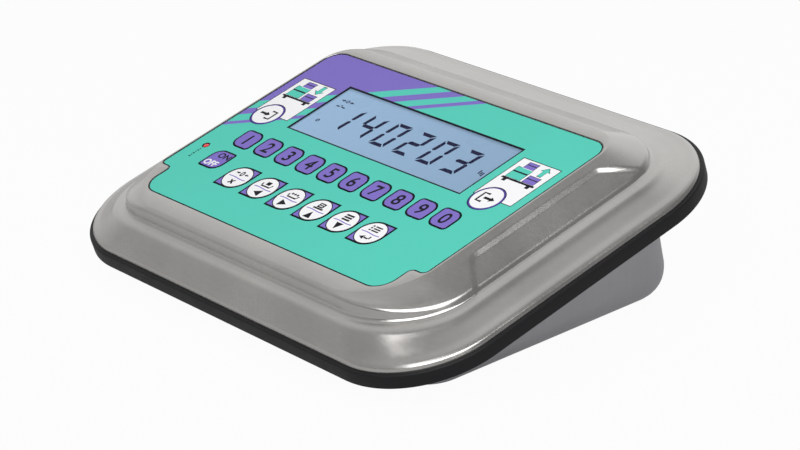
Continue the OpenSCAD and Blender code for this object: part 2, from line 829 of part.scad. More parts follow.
module cover_bush(top) {
    bush_h = top - flange_top;
    difference() {
        translate([0, 0, flange_top]) cylinder(r = bush_r, h = bush_h);
        translate([0, 0, flange_top - over])
            cylinder(r = screw_r + thread_gap, h = bush_h - sheet_t + over);
    }
}

module cover_bushes() {
    color("silver") on_panel() for (s = [-1, 1]) {
        translate([s * bush_x, bush_inset - lip_y0, 0]) cover_bush(front_bush_top);
        translate([s * bush_x, lip_y1 - bush_inset, 0]) cover_bush(rear_bush_top);
        for (y = side_bush_ys) translate([s * side_bush_x, y, 0]) cover_bush(side_bush_top);
    }
}

module case_screws() {
    thread_l = (side_bush_top - flange_top) / 2;
    color("silver") on_panel() at_case_screws() difference() {
        union() {
            translate([0, 0, flange_under]) cylinder(r = screw_r, h = sheet_t + thread_l);
            translate([0, 0, flange_under - screw_head_h]) cylinder(r = screw_head_r, h = screw_head_h);
        }
        translate([0, 0, flange_under - screw_head_h - over])
            cylinder(r = screw_head_r / 2, h = screw_head_h / 2 + over, $fn = 6);
    }
}

// Cable glands and the vent plug in the rear wall

gland_stem = locknut_h + rear_wall_t + locknut_h / 2;
gland_bore_r = cable_r + 1.2 * sheet_t;
gland_neck_r = gland_thread_r - sheet_t / 2;
gland_neck_h = gland_nut_h / 2;
gland_seal_r = gland_bore_r + sheet_t;
vent_stem_r = vent_r * 0.6;

module gland_bodies() {
    color([0.2, 0.2, 0.22]) on_panel() at_glands() difference() {
        union() {
            translate([0, 0, -gland_stem]) cylinder(r = gland_thread_r, h = gland_stem);
            cylinder(r = gland_hex_r, h = gland_hex_h, $fn = 6);
            cylinder(r = gland_neck_r, h = gland_hex_h + gland_neck_h);
        }
        translate([0, 0, -gland_stem - over])
            cylinder(r = gland_bore_r, h = gland_stem + gland_hex_h + gland_neck_h + 2 * over);
    }
}

module gland_seals() {
    seal_z = gland_hex_h + gland_neck_h;
    color([0.1, 0.1, 0.1]) on_panel() at_glands() difference() {
        translate([0, 0, seal_z]) cylinder(r = gland_seal_r, h = cable_seal_l);
        translate([0, 0, seal_z - over]) cylinder(r = cable_r, h = cable_seal_l + 2 * over);
    }
}

module gland_nuts() {
    nut_top = gland_hex_h + gland_nut_h;
    color([0.2, 0.2, 0.22]) on_panel() at_glands() difference() {
        union() {
            translate([0, 0, gland_hex_h])
                cylinder(r = gland_hex_r - sheet_t / 2, h = gland_nut_h / 2, $fn = 6);
            translate([0, 0, gland_hex_h])
                cylinder(r = gland_thread_r + sheet_t / 2, h = gland_nut_h - sheet_t);
            translate([0, 0, nut_top - sheet_t])
                cylinder(r1 = gland_thread_r + sheet_t / 2, r2 = gland_thread_r - sheet_t, h = sheet_t);
        }
        translate([0, 0, gland_hex_h - over])
            cylinder(r = gland_neck_r + thread_gap, h = gland_neck_h + over);
        translate([0, 0, gland_hex_h])
            cylinder(r = gland_seal_r + thread_gap, h = gland_nut_h + over);
    }
}

module gland_locknuts() {
    color([0.2, 0.2, 0.22]) on_panel() at_glands() translate([0, 0, -rear_wall_t - locknut_h])
        difference() {
            cylinder(r = gland_hex_r, h = locknut_h, $fn = 6);
            translate([0, 0, -over]) cylinder(r = gland_thread_r + thread_gap, h = locknut_h + 2 * over);
        }
}

module vent_plug() {
    color([0.15, 0.15, 0.16]) on_panel() at_rear_wall(vent_x) {
        cylinder(r = vent_r, h = vent_h * 0.7);
        translate([0, 0, vent_h * 0.7]) cylinder(r1 = vent_r, r2 = vent_r - sheet_t, h = vent_h * 0.3);
        translate([0, 0, -rear_wall_t - locknut_h]) cylinder(r = vent_stem_r, h = rear_wall_t + locknut_h);
        translate([0, 0, -rear_wall_t - locknut_h / 2]) cylinder(r = vent_r - sheet_t, h = locknut_h / 2);
    }
}

// Feet, and the bushes in the bottom of the case

foot_screw_z = foot_h / 2;
foot_taper = sheet_t / 2;

module feet() {
    color([0.1, 0.1, 0.1]) at_feet() difference() {
        cylinder(r1 = foot_r, r2 = foot_r - foot_taper, h = foot_h);
        translate([0, 0, -over]) cylinder(r = screw_r + hole_gap, h = foot_h + 2 * over);
        translate([0, 0, -over]) cylinder(r = screw_head_r + hole_gap, h = foot_screw_z + over);
    }
}

module foot_screws() {
    head_h = foot_screw_z - sheet_t / 2;
    color("silver") at_feet() {
        translate([0, 0, foot_screw_z - head_h]) cylinder(r = screw_head_r, h = head_h);
        translate([0, 0, foot_screw_z]) cylinder(r = screw_r, h = floor_z + mount_bush_h / 2 - foot_screw_z);
    }
}

module foot_bushes() {
    color("silver") at_feet() translate([0, 0, floor_z]) difference() {
        cylinder(r = bush_r, h = mount_bush_h);
        translate([0, 0, -over])
            cylinder(r = screw_r + thread_gap, h = mount_bush_h - sheet_t + over);
    }
}

module mount_bushes() {
    wall_t = floor_z - foot_h;
    color("silver") at_mounts() translate([0, 0, foot_h]) difference() {
        union() {
            cylinder(r = mount_spigot_r, h = wall_t);
            translate([0, 0, wall_t]) cylinder(r = mount_shoulder_r, h = mount_bush_h);
        }
        translate([0, 0, -over]) cylinder(r = mount_hole_r, h = wall_t + mount_bush_h - sheet_t + over);
    }
}

// The main board on the floor of the case

board_z = floor_z + standoff_h;
board_top = board_z + board_t;
battery_x0 = battery_side_gap - floor_x;
board_left = battery_x0 + battery_w + board_battery_gap;
board_right = floor_x - board_side_gap;
board_front = floor_y0 + board_front_gap;
board_rear = floor_y1 - board_rear_gap;
board_w = board_right - board_left;
board_d = board_rear - board_front;

module at_board_screws() {
    for (x = [board_left + board_screw_inset, board_right - board_screw_inset],
        y = [board_front + board_screw_inset, board_rear - board_screw_inset])
        translate([x, y, 0]) children();
}

module main_board() {
    color([0.1, 0.4, 0.25]) difference() {
        translate([board_left, board_front, board_z]) cube([board_w, board_d, board_t]);
        at_board_screws() translate([0, 0, board_z - over])
            cylinder(r = small_screw_r + hole_gap, h = board_t + 2 * over);
    }
}

module board_standoffs() {
    color("silver") at_board_screws() translate([0, 0, floor_z]) difference() {
        cylinder(r = standoff_r, h = standoff_h);
        translate([0, 0, sheet_t]) cylinder(r = small_screw_r + thread_gap, h = standoff_h);
    }
}

module board_screws() {
    color("silver") at_board_screws() {
        translate([0, 0, board_top]) cylinder(r = small_head_r, h = small_head_h);
        translate([0, 0, board_z - standoff_h / 2]) cylinder(r = small_screw_r, h = standoff_h / 2 + board_t);
    }
}

// A block on the board, placed by shares of the board and sized in its own units
chip_unit = 1;
module board_block(x_share, y_share, size) {
    translate([board_left + x_share * board_w, board_front + y_share * board_d, board_top])
        linear_extrude(size[2] * chip_unit) square([size[0], size[1]] * chip_unit, center = true);
}

ribbon_socket = [24, 6, 7] * chip_unit;
power_module = [34, 24, 15] * chip_unit;
relay_size = [16, 12, 14] * chip_unit;
chip_size = [14, 14, 1.6] * chip_unit;
adc_size = [10, 8, 2] * chip_unit;
buzzer_r = 6;
buzzer_h = 8;
capacitor_r = 5;
capacitor_h = 16;
tail_socket_share = [0.42, 0.08];
display_socket_share = [0.42, 0.4];

module board_parts() {
    color([0.15, 0.15, 0.16]) {
        board_block(tail_socket_share[0], tail_socket_share[1], ribbon_socket);
        board_block(display_socket_share[0], display_socket_share[1], ribbon_socket);
        board_block(0.8, 0.3, power_module);
        board_block(0.62, 0.62, relay_size);
        board_block(0.8, 0.62, relay_size);
        board_block(0.2, 0.35, chip_size);
        board_block(0.2, 0.6, adc_size);
        translate([board_left + board_w / 6, board_front + board_d / 7, board_top])
            cylinder(r = buzzer_r, h = buzzer_h);
        translate([board_left + board_w * 0.61, board_front + board_d / 4, board_top])
            cylinder(r = capacitor_r, h = capacitor_h);
    }
}

terminal_count = 3;
terminal_size = [36, 10, 12] * chip_unit;
terminal_pitch_share = 0.29;
module terminal_blocks() {
    color([0.1, 0.5, 0.3]) for (i = [0 : terminal_count - 1])
        board_block(0.21 + i * terminal_pitch_share, 0.92, terminal_size);
}

// Flat flexible leads that the case holds all the way

// A lead from point a to point b by way of one bend, all [y, z], as a strip of even width
function strip(path) = concat([for (p = path) [p[0] - ribbon_t / 2, p[1]]],
    [for (i = [len(path) - 1 : -1 : 0]) [path[i][0] + ribbon_t / 2, path[i][1]]]);

module lead(x, path) {
    translate([x - ribbon_w / 2, 0, 0]) rotate([90, 0, 90]) linear_extrude(ribbon_w)
        polygon(strip(path));
}

ribbon_top = placed([window_mid, display_board_under]);
ribbon_low = placed([window_mid, display_board_under - cover_drop / 8]);
ribbon_end_y = board_front + display_socket_share[1] * board_d;
lead_x = board_left + tail_socket_share[0] * board_w;
socket_top = board_top + ribbon_socket[2];
lead_drop = cover_drop / 8;

module keypad_tail() {
    color([0.8, 0.5, 0.2]) on_panel()
        translate([-ribbon_w / 2, tail_slot_y - ribbon_t / 2, well_under - lead_drop])
        cube([ribbon_w, ribbon_t, well_z - well_under + lead_drop]);
}

module display_ribbon() {
    color([0.7, 0.7, 0.7])
        lead(lead_x, [ribbon_top, ribbon_low,
            [ribbon_end_y, socket_top + lead_drop], [ribbon_end_y, socket_top]]);
}

// The battery pack and what holds it down

battery_y0 = floor_y0 + battery_front_gap;
battery_y1 = floor_y1 - battery_rear_gap;
battery_mid = [battery_x0 + battery_w / 2, (battery_y0 + battery_y1) / 2];
bracket_gap = 0.3;
bracket_foot = 4 * screw_r;
stud_x = battery_w / 2 + bracket_gap + bracket_t + bracket_foot / 2;
stud_h = 7;
nut_r = 1.9 * screw_r;
nut_h = 1.4 * screw_r;

module battery_pack() {
    color([0.15, 0.2, 0.3]) translate([battery_x0, battery_y0, floor_z])
        cube([battery_w, battery_y1 - battery_y0, battery_h]);
}

module battery_bracket() {
    inner_w = battery_w + 2 * bracket_gap;
    top_z = battery_h + bracket_gap;
    color("silver") translate([battery_mid[0], battery_mid[1] - bracket_w / 2, floor_z]) difference() {
        union() {
            translate([-inner_w / 2 - bracket_t, 0, 0])
                cube([inner_w + 2 * bracket_t, bracket_w, top_z + bracket_t]);
            translate([-inner_w / 2 - bracket_t - bracket_foot, 0, 0])
                cube([inner_w + 2 * (bracket_t + bracket_foot), bracket_w, bracket_t]);
        }
        translate([-inner_w / 2, -over, -over]) cube([inner_w, bracket_w + 2 * over, top_z + over]);
        for (s = [-1, 1]) translate([s * stud_x, bracket_w / 2, -over])
            cylinder(r = screw_r + hole_gap, h = bracket_t + 2 * over);
    }
}

module at_bracket_studs() {
    for (s = [-1, 1]) translate([battery_mid[0] + s * stud_x, battery_mid[1], floor_z]) children();
}

module bracket_studs() {
    color("silver") at_bracket_studs() cylinder(r = screw_r, h = stud_h);
}

module bracket_nuts() {
    color("silver") at_bracket_studs() translate([0, 0, bracket_t]) difference() {
        cylinder(r = nut_r, h = nut_h, $fn = 6);
        translate([0, 0, -over]) cylinder(r = screw_r + thread_gap, h = nut_h + 2 * over);
    }
}

// The earth stud beside the main board

earth_x = board_right + 3 * screw_r;
earth_y = board_rear - board_d / 2;
earth_h = 12;

module earth_stud() {
    color("silver") translate([earth_x, earth_y, floor_z]) cylinder(r = screw_r, h = earth_h);
}

module earth_nuts() {
    color([0.8, 0.7, 0.4]) for (k = [0, 1])
        translate([earth_x, earth_y, floor_z + k * (nut_h + sheet_t)]) difference() {
            cylinder(r = nut_r, h = nut_h, $fn = 6);
            translate([0, 0, -over]) cylinder(r = screw_r + thread_gap, h = nut_h + 2 * over);
        }
}

module key_1() { number_key(0); }
module key_2() { number_key(1); }
module key_3() { number_key(2); }
module key_4() { number_key(3); }
module key_5() { number_key(4); }
module key_6() { number_key(5); }
module key_7() { number_key(6); }
module key_8() { number_key(7); }
module key_9() { number_key(8); }
module key_0() { number_key(9); }
module key_f1() { function_key(0); }
module key_f2() { function_key(1); }
module key_f3() { function_key(2); }
module key_f4() { function_key(3); }
module key_f5() { function_key(4); }
module key_f6() { function_key(5); }
module key_in() { round_key(in_x); }
module key_out() { round_key(out_x); }

front_cover();
rear_case();
seal_ring();
overlay_film();
spacer_sheet();
key_circuit();
snap_domes();
display_window();
led_lens();
key_1();
key_2();
key_3();
key_4();
key_5();
key_6();
key_7();
key_8();
key_9();
key_0();
key_power();
key_f1();
key_f2();
key_f3();
key_f4();
key_f5();
key_f6();
key_in();
key_out();
lcd_glass();
display_backlight();
display_frame();
display_board();
display_spacers();
display_screws();
keypad_tail();
display_ribbon();
main_board();
board_parts();
terminal_blocks();
board_standoffs();
board_screws();
battery_pack();
battery_bracket();
bracket_studs();
bracket_nuts();
cover_bushes();
case_screws();
gland_bodies();
gland_seals();
gland_nuts();
gland_locknuts();
vent_plug();
earth_stud();
earth_nuts();
feet();
foot_screws();
foot_bushes();
mount_bushes();
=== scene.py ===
import json
import math
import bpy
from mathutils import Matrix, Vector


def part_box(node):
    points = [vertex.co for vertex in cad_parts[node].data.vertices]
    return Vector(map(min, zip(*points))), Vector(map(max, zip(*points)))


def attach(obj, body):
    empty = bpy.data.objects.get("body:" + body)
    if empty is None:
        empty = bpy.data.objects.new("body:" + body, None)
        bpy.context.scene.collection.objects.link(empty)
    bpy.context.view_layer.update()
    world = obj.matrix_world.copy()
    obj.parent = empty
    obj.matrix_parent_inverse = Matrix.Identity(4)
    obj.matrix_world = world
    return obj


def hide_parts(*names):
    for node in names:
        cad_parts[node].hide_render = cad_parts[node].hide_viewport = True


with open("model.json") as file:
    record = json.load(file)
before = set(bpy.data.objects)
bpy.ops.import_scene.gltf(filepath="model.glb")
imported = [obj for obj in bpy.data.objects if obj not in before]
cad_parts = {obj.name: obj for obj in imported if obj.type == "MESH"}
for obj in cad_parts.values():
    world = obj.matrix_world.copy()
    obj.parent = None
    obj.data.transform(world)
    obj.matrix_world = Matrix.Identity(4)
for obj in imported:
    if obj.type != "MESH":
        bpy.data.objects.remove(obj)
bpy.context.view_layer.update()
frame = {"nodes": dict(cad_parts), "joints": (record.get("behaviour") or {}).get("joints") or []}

from types import SimpleNamespace

import bmesh
import bpy
import numpy as np
from bpy.props import FloatProperty, FloatVectorProperty, IntProperty, PointerProperty
from bpy.types import Operator, Panel, PropertyGroup
from mathutils import Matrix, Vector
from mathutils.geometry import delaunay_2d_cdt

bl_info = {
    "name": "Weighing Indicator",
    "version": (1, 0, 0),
    "blender": (4, 5, 0),
    "location": "3D View > Sidebar > Indicator",
    "description": "Dresses a weighing indicator: pressed cover, printed keypad, display and fittings",
    "category": "Object",
}

MM = 0.001
BODY = "case"
TILT = math.asin(frame["joints"][0]["axis"][1])


# Properties that a user would change


def length(label, description, default):
    return FloatProperty(name=label, description=description, default=default,
                         unit="LENGTH", subtype="DISTANCE", precision=5)


def share(label, description, default):
    return FloatProperty(name=label, description=description, default=default, min=0.0, precision=3)


def angle(label, description, default):
    return FloatProperty(name=label, description=description, default=default,
                         unit="ROTATION", subtype="ANGLE")


def srgb(red, green, blue):
    """A colour of a screen, 0 to 255, as linear light."""
    def linear(level):
        part = level / 255
        return part / 12.92 if part <= 0.04045 else ((part + 0.055) / 1.055) ** 2.4
    return linear(red), linear(green), linear(blue)


def colour(label, description, default):
    return FloatVectorProperty(name=label, description=description, default=default,
                               subtype="COLOR", size=3, min=0.0, max=1.0)


class KeypadSizes(PropertyGroup):
    """Sizes of the printed film and of its keys, in the plane of the panel."""
    film_w: length("Film width", "Width of the printed film", 0.2066)
    film_front: length("Film front", "From the number row to the front of the film", 0.0545)
    film_rear: length("Film rear", "From the number row to the rear of the film", 0.08)
    film_front_r: length("Front radius", "Radius of the film's front corners", 0.010)
    film_rear_r: length("Rear radius", "Radius of the film's rear corners", 0.009)
    notch_w: length("Notch width", "Width of the step in each side of the film", 0.009)
    notch_y: length("Notch place", "From the number row to the step", 0.0355)
    notch_r: length("Notch radius", "Radius at the step", 0.003)
    film_t: length("Film thickness", "Thickness of the film", 0.0004)
    film_sink: length("Film sink", "Depth of the film below the steel", 0.0003)
    film_gap: length("Film gap", "Gap between the film and the steel", 0.0005)
    number_pitch: length("Number pitch", "Pitch of the number keys", 0.017)
    number_size: length("Number size", "Width and height of a number key", 0.0138)
    number_r: length("Number radius", "Radius of a number key's round corners", 0.0055)
    number_corner: length("Number corner", "Radius of a number key's other corners", 0.0021)
    power_corner: length("Power corner", "Radius of the power key's other corners", 0.0014)
    power_w: length("Power width", "Width of the power key", 0.014)
    power_h: length("Power height", "Height of the power key", 0.0144)
    power_drop: length("Power drop", "From the number row down to the power key", 0.0196)
    function_pitch: length("Function pitch", "Pitch of the function keys", 0.0209)
    function_size: length("Function size", "Width and height of a function key", 0.0173)
    function_drop: length("Function drop", "From the number row down to the function row", 0.0254)
    function_shift: length("Function shift", "Sideways place of the function row", 0.0004)
    round_r: length("Round radius", "Radius of a round key", 0.009)
    round_rise: length("Round rise", "From the number row up to the round keys", 0.021)
    in_inset: length("In inset", "From the left edge of the film to its round key", 0.0159)
    out_inset: length("Out inset", "From the right edge of the film to its round key", 0.0213)
    key_gap: length("Key gap", "Gap round a key", 0.0003)
    key_proud: length("Key height", "Height of a key above the film", 0.0001)
    key_h: length("Key thickness", "Thickness of a key", 0.00105)
    key_foot_w: length("Key foot width", "Width of the foot round a key", 0.0008)
    key_foot_t: length("Key foot thickness", "Thickness of the foot round a key", 0.00035)
    key_rim: length("Key rim", "Rounded rim of a key", 0.00022)
    outline: length("Outline", "Width of the dark line round a key", 0.0007)
    ring_line: length("Ring", "Width of the line round a round key", 0.0009)
    # Width of the dark band printed round the film, a painted shadow of the gap between the film and the
    # steel
    gap_shadow_line: length("Edge line", "Width of the dark line round the film", 0.00025)
    lamp_r: length("Lamp radius", "Radius of the lamp", 0.0015)
    lamp_gap: length("Lamp gap", "Gap round the lamp", 0.0002)
    lamp_x: length("Lamp across", "From the middle of the film to the lamp", -0.0943)
    lamp_drop: length("Lamp drop", "From the number row down to the lamp", 0.0136)


class DisplaySizes(PropertyGroup):
    """Sizes of the window and of the digits behind it."""
    window_w: length("Window width", "Width of the window", 0.1317)
    window_h: length("Window height", "Height of the window", 0.0402)
    window_rise: length("Window rise", "From the number row up to the window", 0.0182)
    glass_margin: length("Glass margin", "Hidden margin of the display glass", 0.002)
    glass_gap: length("Glass gap", "Gap between the film and the display glass", 0.0001)
    glass_t: length("Glass thickness", "Thickness of the display glass", 0.002)
    pane_gap: length("Pane gap", "Gap round the window pane", 0.0002)
    border: length("Border", "Width of the dark line round the window", 0.00095)
    digit_x: length("First digit", "From the middle to the first digit's lower left end", -0.0494)
    digit_y: length("Digit base", "From the number row up to the base of the digits", 0.0289)
    digit_pitch: length("Digit pitch", "Pitch of the digits", 0.0178)
    digit_w: length("Digit width", "Width of a digit between the middles of its strokes", 0.0088)
    digit_h: length("Digit height", "Height of a digit between the middles of its strokes", 0.0175)
    stroke: length("Stroke", "Width of a stroke of a digit", 0.0024)
    slant: angle("Slant", "Lean of the digits", math.radians(5.5))


class CoverSizes(PropertyGroup):
    """Sizes of the pressed steel cover."""
    sheet_t: length("Sheet thickness", "Thickness of the steel sheet", 0.0012)
    flat_side: length("Flat side", "Steel beside the film", 0.0012)
    flat_front: length("Flat front", "Steel in front of the film", 0.010)
    flat_rear: length("Flat rear", "Steel behind the film", 0.007)
    slope_side: length("Side slope", "Width of the stepped slope at the sides", 0.036)
    slope_front: length("Front slope", "Width of the stepped slope at the front", 0.0185)
    slope_rear: length("Rear slope", "Width of the stepped slope at the rear", 0.0376)
    drop: length("Drop", "Height from the lip to the flat", 0.022)
    flat_front_r: length("Flat front radius", "Radius of the flat's front corners", 0.036)
    flat_rear_r: length("Flat rear radius", "Radius of the flat's rear corners", 0.016)
    lip_front_r: length("Lip front radius", "Radius of the lip's front corners", 0.046)
    lip_rear_r: length("Lip rear radius", "Radius of the lip's rear corners", 0.050)
    skirt_h: length("Skirt height", "Height of the skirt under the lip", 0.0064)
    pocket_depth: length("Pocket depth", "Depth of the pocket in each side slope", 0.0009)
    pocket_front: length("Pocket front", "From the number row to the pocket's front end", 0.013)
    pocket_rear: length("Pocket rear", "From the number row to the pocket's rear end", 0.064)
    pocket_edge: share("Pocket edge", "Place of the pocket's edge in the side slope", 0.11)
    pocket_front_flare: share("Front flare", "Flare of the pocket's front end", 0.86)
    pocket_rear_flare: share("Rear flare", "Flare of the pocket's rear end", 1.8)
    spacer_t: length("Spacer thickness", "Thickness of the spacer under the film", 0.0012)
    circuit_t: length("Circuit thickness", "Thickness of the keypad circuit", 0.0005)
    tail_w: length("Tail width", "Width of the keypad's tail", 0.018)
    slot_w: length("Slot width", "Width of the slot for the keypad's tail", 0.0018)
    ring_steps: IntProperty(name="Ring steps", description="Rings between two turns of the profile",
                            default=8, min=1)
    corner_steps: IntProperty(name="Corner steps", description="Segments in each corner",
                              default=28, min=4)


class CaseSizes(PropertyGroup):
    """Sizes of the rubber seal and of the deep-drawn case."""
    seal_t: length("Seal thickness", "Thickness of the rubber round the lip", 0.0021)
    seal_gap: length("Seal gap", "From the lip down to the rubber", 0.0005)
    seal_floor: length("Seal floor", "Thickness of the rubber under the skirt", 0.0013)
    seal_in: length("Seal tongue", "Width of the rubber under the skirt", 0.004)
    flange_inset: length("Flange inset", "From the lip to the edge of the flange", 0.0005)
    flange_side: length("Flange side", "Width of the flange at the sides", 0.0185)
    flange_front: length("Flange front", "Width of the flange at the front", 0.017)
    flange_rear: length("Flange rear", "Width of the flange at the rear", 0.0272)
    case_depth: length("Case depth", "Depth of the case below the panel", 0.0592)
    case_r: length("Case radius", "Radius of the case's rear corners", 0.030)
    root_r: length("Root radius", "Radius between the flange and the wall", 0.002)
    foot_h: length("Foot height", "Height of the rubber feet", 0.003)
    foot_r: length("Foot radius", "Radius of a foot", 0.0075)


class FittingSizes(PropertyGroup):
    """Sizes of the screws, cable glands, vent plug and threaded base."""
    screw_r: length("Screw radius", "Radius of the case screws", 0.002)
    screw_head_r: length("Head radius", "Radius of a screw head", 0.0036)
    screw_head_h: length("Head height", "Height of a screw head", 0.0022)
    bush_inset: length("Screw inset", "From the lip to the case screws", 0.0095)
    bush_corner: length("Screw corner", "From the side of the lip to the end screws", 0.0685)
    bush_front_inset: length("Front screw", "From the front of the film to a side screw", 0.0305)
    bush_rear_inset: length("Rear screw", "From the rear of the film to a side screw", 0.022)
    gland_count: IntProperty(name="Glands", description="How many cable glands", default=4, min=1)
    gland_pitch: length("Gland pitch", "Pitch of the cable glands", 0.032)
    gland_inset: length("Gland inset", "From the side of the case to the first gland", 0.044)
    gland_thread_r: length("Gland thread", "Radius of a gland's thread", 0.008)
    gland_hex_r: length("Gland hexagon", "Corner radius of a gland's hexagon", 0.011)
    gland_hex_h: length("Hexagon height", "Height of a gland's hexagon", 0.004)
    gland_nut_h: length("Gland nut", "Height of a gland's nut", 0.013)
    cable_r: length("Cable radius", "Radius of the bore for a cable", 0.0035)
    locknut_h: length("Locknut height", "Height of a locknut", 0.004)
    vent_r: length("Vent radius", "Radius of the vent plug", 0.007)
    vent_h: length("Vent height", "Height of the vent plug", 0.006)
    vent_inset: length("Vent inset", "From the side of the case to the vent plug", 0.062)
    mount_pitch: length("Base threads", "Pitch of the threaded bushes in the base", 0.075)
    mount_spigot_r: length("Base spigot", "Radius of a base bush's spigot", 0.0035)


class Colours(PropertyGroup):
    """Colours of the finishes."""
    teal: colour("Teal", "Main colour of the film", srgb(88, 210, 190))
    violet: colour("Violet", "Second colour of the film and of the keys", srgb(131, 114, 202))
    deep_violet: colour("Deep violet", "Rings and lines on the white keys", srgb(84, 66, 152))
    white: colour("White", "White print", srgb(253, 253, 255))
    ink: colour("Ink", "Dark print", srgb(8, 8, 22))
    steel: colour("Steel", "Satin stainless steel of the cover", srgb(195, 193, 190))
    case_steel: colour("Case steel", "Duller steel of the drawn case", srgb(172, 172, 176))
    rubber: colour("Rubber", "Black rubber", srgb(13, 13, 16))
    display: colour("Display", "Lit display", srgb(157, 191, 225))
    digit: colour("Digit", "Dark segments", srgb(4, 4, 62))
    lamp: colour("Lamp", "Red lamp", srgb(214, 30, 30))
    nylon: colour("Nylon", "Black nylon of the glands", srgb(44, 44, 47))


class StudioSettings(PropertyGroup):
    """Camera and light."""
    target: FloatVectorProperty(name="Target", description="Point in the middle of the picture",
                                default=(0.06909, -0.04725, 0.05991), subtype="TRANSLATION")
    distance: length("Distance", "From the camera to its target", 1.29976)
    azimuth: angle("Azimuth", "Camera's way round the object", math.radians(52.531))
    elevation: angle("Elevation", "Camera's height above the horizon", math.radians(20.836))
    roll: angle("Roll", "Turn of the picture", math.radians(-2.652))
    lens: FloatProperty(name="Lens", description="Focal length for a 36 mm sensor",
                        default=130.046, unit="CAMERA")
    light_rear: share("Light rear", "Level of the light from behind", 0.92)
    dim_front: share("Dim front", "Level of the light from the front", 0.28)
    dim_side: share("Dim side", "Share of the light that comes from the right", 0.08)
    shade_edge: share("Shade edge", "How wide the change from left to right is", 0.36)
    floor_seen: share("Floor seen", "Share of the floor that shows white to the camera", 0.96)
    white_mirrored: share("White mirrored", "Share of the white surroundings that metal shows", 0.2)
    lamp_power: FloatProperty(name="Lamp power", description="Power of the soft box", default=48.0,
                              unit="POWER")


def settings(context):
    """The property groups under short names."""
    return SimpleNamespace(**{name.split("_")[1]: getattr(context.scene, name) for name in GROUPS})


def heights(s):
    """Heights below the flat of the cover, in the frame of the panel."""
    h = SimpleNamespace()
    h.film_top = -s.keypad.film_sink
    h.film_under = h.film_top - s.keypad.film_t
    h.circuit_top = h.film_under - s.cover.spacer_t
    h.well = h.circuit_top - s.cover.circuit_t
    h.well_under = h.well - s.cover.sheet_t
    h.key_top = h.film_top + s.keypad.key_proud
    h.key_under = h.key_top - s.keypad.key_h
    h.lip = -s.cover.drop
    h.skirt = h.lip - s.cover.skirt_h
    h.seal_top = h.lip - s.case.seal_gap
    h.flange_top = h.skirt - s.case.seal_floor
    h.flange_under = h.flange_top - s.cover.sheet_t
    return h


def panel_place(s):
    """The panel's frame, found from the film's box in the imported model."""
    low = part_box("overlay_film")[0]
    h = heights(s)
    seat_z = low.z + s.keypad.film_front * math.sin(TILT) - h.film_under * math.cos(TILT)
    seat_y = low.y + s.keypad.film_front * math.cos(TILT) + h.film_top * math.sin(TILT)
    return Matrix.Translation((0, seat_y, seat_z)) @ Matrix.Rotation(TILT, 4, "X")


def plan(s):
    """Half widths and reaches of the flat, the lip and the case, in the frame of the panel."""
    p = SimpleNamespace()
    p.flat_x = s.keypad.film_w / 2 + s.cover.flat_side
    p.flat_y0 = s.keypad.film_front + s.cover.flat_front
    p.flat_y1 = s.keypad.film_rear + s.cover.flat_rear
    p.lip_x = p.flat_x + s.cover.slope_side
    p.lip_y0 = p.flat_y0 + s.cover.slope_front
    p.lip_y1 = p.flat_y1 + s.cover.slope_rear
    p.case_x = p.lip_x - s.case.flange_side
    p.case_y0 = p.lip_y0 - s.case.flange_front
    p.case_y1 = p.lip_y1 - s.case.flange_rear
    return p


# Outlines, as lists of points that run counter-clockwise


def arc(centre_x, centre_y, radius, start, end, steps):
    turns = [math.radians(start + (end - start) * i / steps) for i in range(steps + 1)]
    return [(centre_x + radius * math.cos(t), centre_y + radius * math.sin(t)) for t in turns]


def circle(centre_x, centre_y, radius, steps=48):
    return arc(centre_x, centre_y, radius, 0, 360 - 360 / steps, steps - 1)


def mirrored(right):
    """A right half that starts at the front and ends at the rear, with its left half added."""
    return right + [(-x, y) for x, y in reversed(right)]


def moved(points, x, y):
    return [(px + x, py + y) for px, py in points]


def scaled(points, width, height):
    return [(px * width, py * height) for px, py in points]


def rectangle(x0, y0, x1, y1):
    return [(x0, y0), (x1, y0), (x1, y1), (x0, y1)]


def round_rectangle(half_w, front, rear, front_r, rear_r, steps):
    """A plate about the middle line, with one radius in front and another behind."""
    return mirrored(arc(half_w - front_r, front_r - front, front_r, -90, 0, steps)
                    + arc(half_w - rear_r, rear - rear_r, rear_r, 0, 90, steps))


def film_outline(k, grow, steps=10):
    wide = k.film_w / 2 + grow
    narrow = wide - k.notch_w
    inner_r = k.notch_r - grow
    outer_r = k.notch_r + grow
    front_r = k.film_front_r + grow
    rear_r = k.film_rear_r + grow
    step_y = -k.notch_y - grow
    return mirrored(arc(narrow - front_r, front_r - k.film_front - grow, front_r, -90, 0, steps)
                    + arc(narrow + inner_r, step_y - inner_r, inner_r, 180, 90, steps)
                    + arc(wide - outer_r, step_y + outer_r, outer_r, -90, 0, steps)
                    + arc(wide - rear_r, k.film_rear + grow - rear_r, rear_r, 0, 90, steps))


def leaf(width, height, radius, flip, steps=12, small=0.0):
    """A square with two opposite corners well rounded and two sharp or eased."""
    w, h, r = width / 2, height / 2, radius
    if small:
        right = arc(w - small, small - h, small, -90, 0, 6)
        left = arc(small - w, h - small, small, 90, 180, 6)
    else:
        right = [(w, -h)]
        left = [(-w, h)]
    points = right + arc(w - r, h - r, r, 0, 90, steps) + left + arc(r - w, r - h, r, 180, 270, steps)
    return [(-x, y) for x, y in reversed(points)] if flip else points


def number_x(k, i):
    return (i - 4.5) * k.number_pitch


def function_x(k, i):
    return (i - 2.5) * k.function_pitch + k.function_shift


def key_middle(k, name):
    """The middle of one key, in the plane of the panel."""
    if name == "in":
        return k.in_inset - k.film_w / 2, k.round_rise
    if name == "out":
        return k.film_w / 2 - k.out_inset, k.round_rise
    if name == "power":
        return number_x(k, 0), -k.power_drop
    if name[0] == "f":
        return function_x(k, int(name[1]) - 1), -k.function_drop
    return number_x(k, (int(name) - 1) % 10), 0.0


# Radius of a function key's round corners, as a share of its size
FACE_ROUND = 0.495


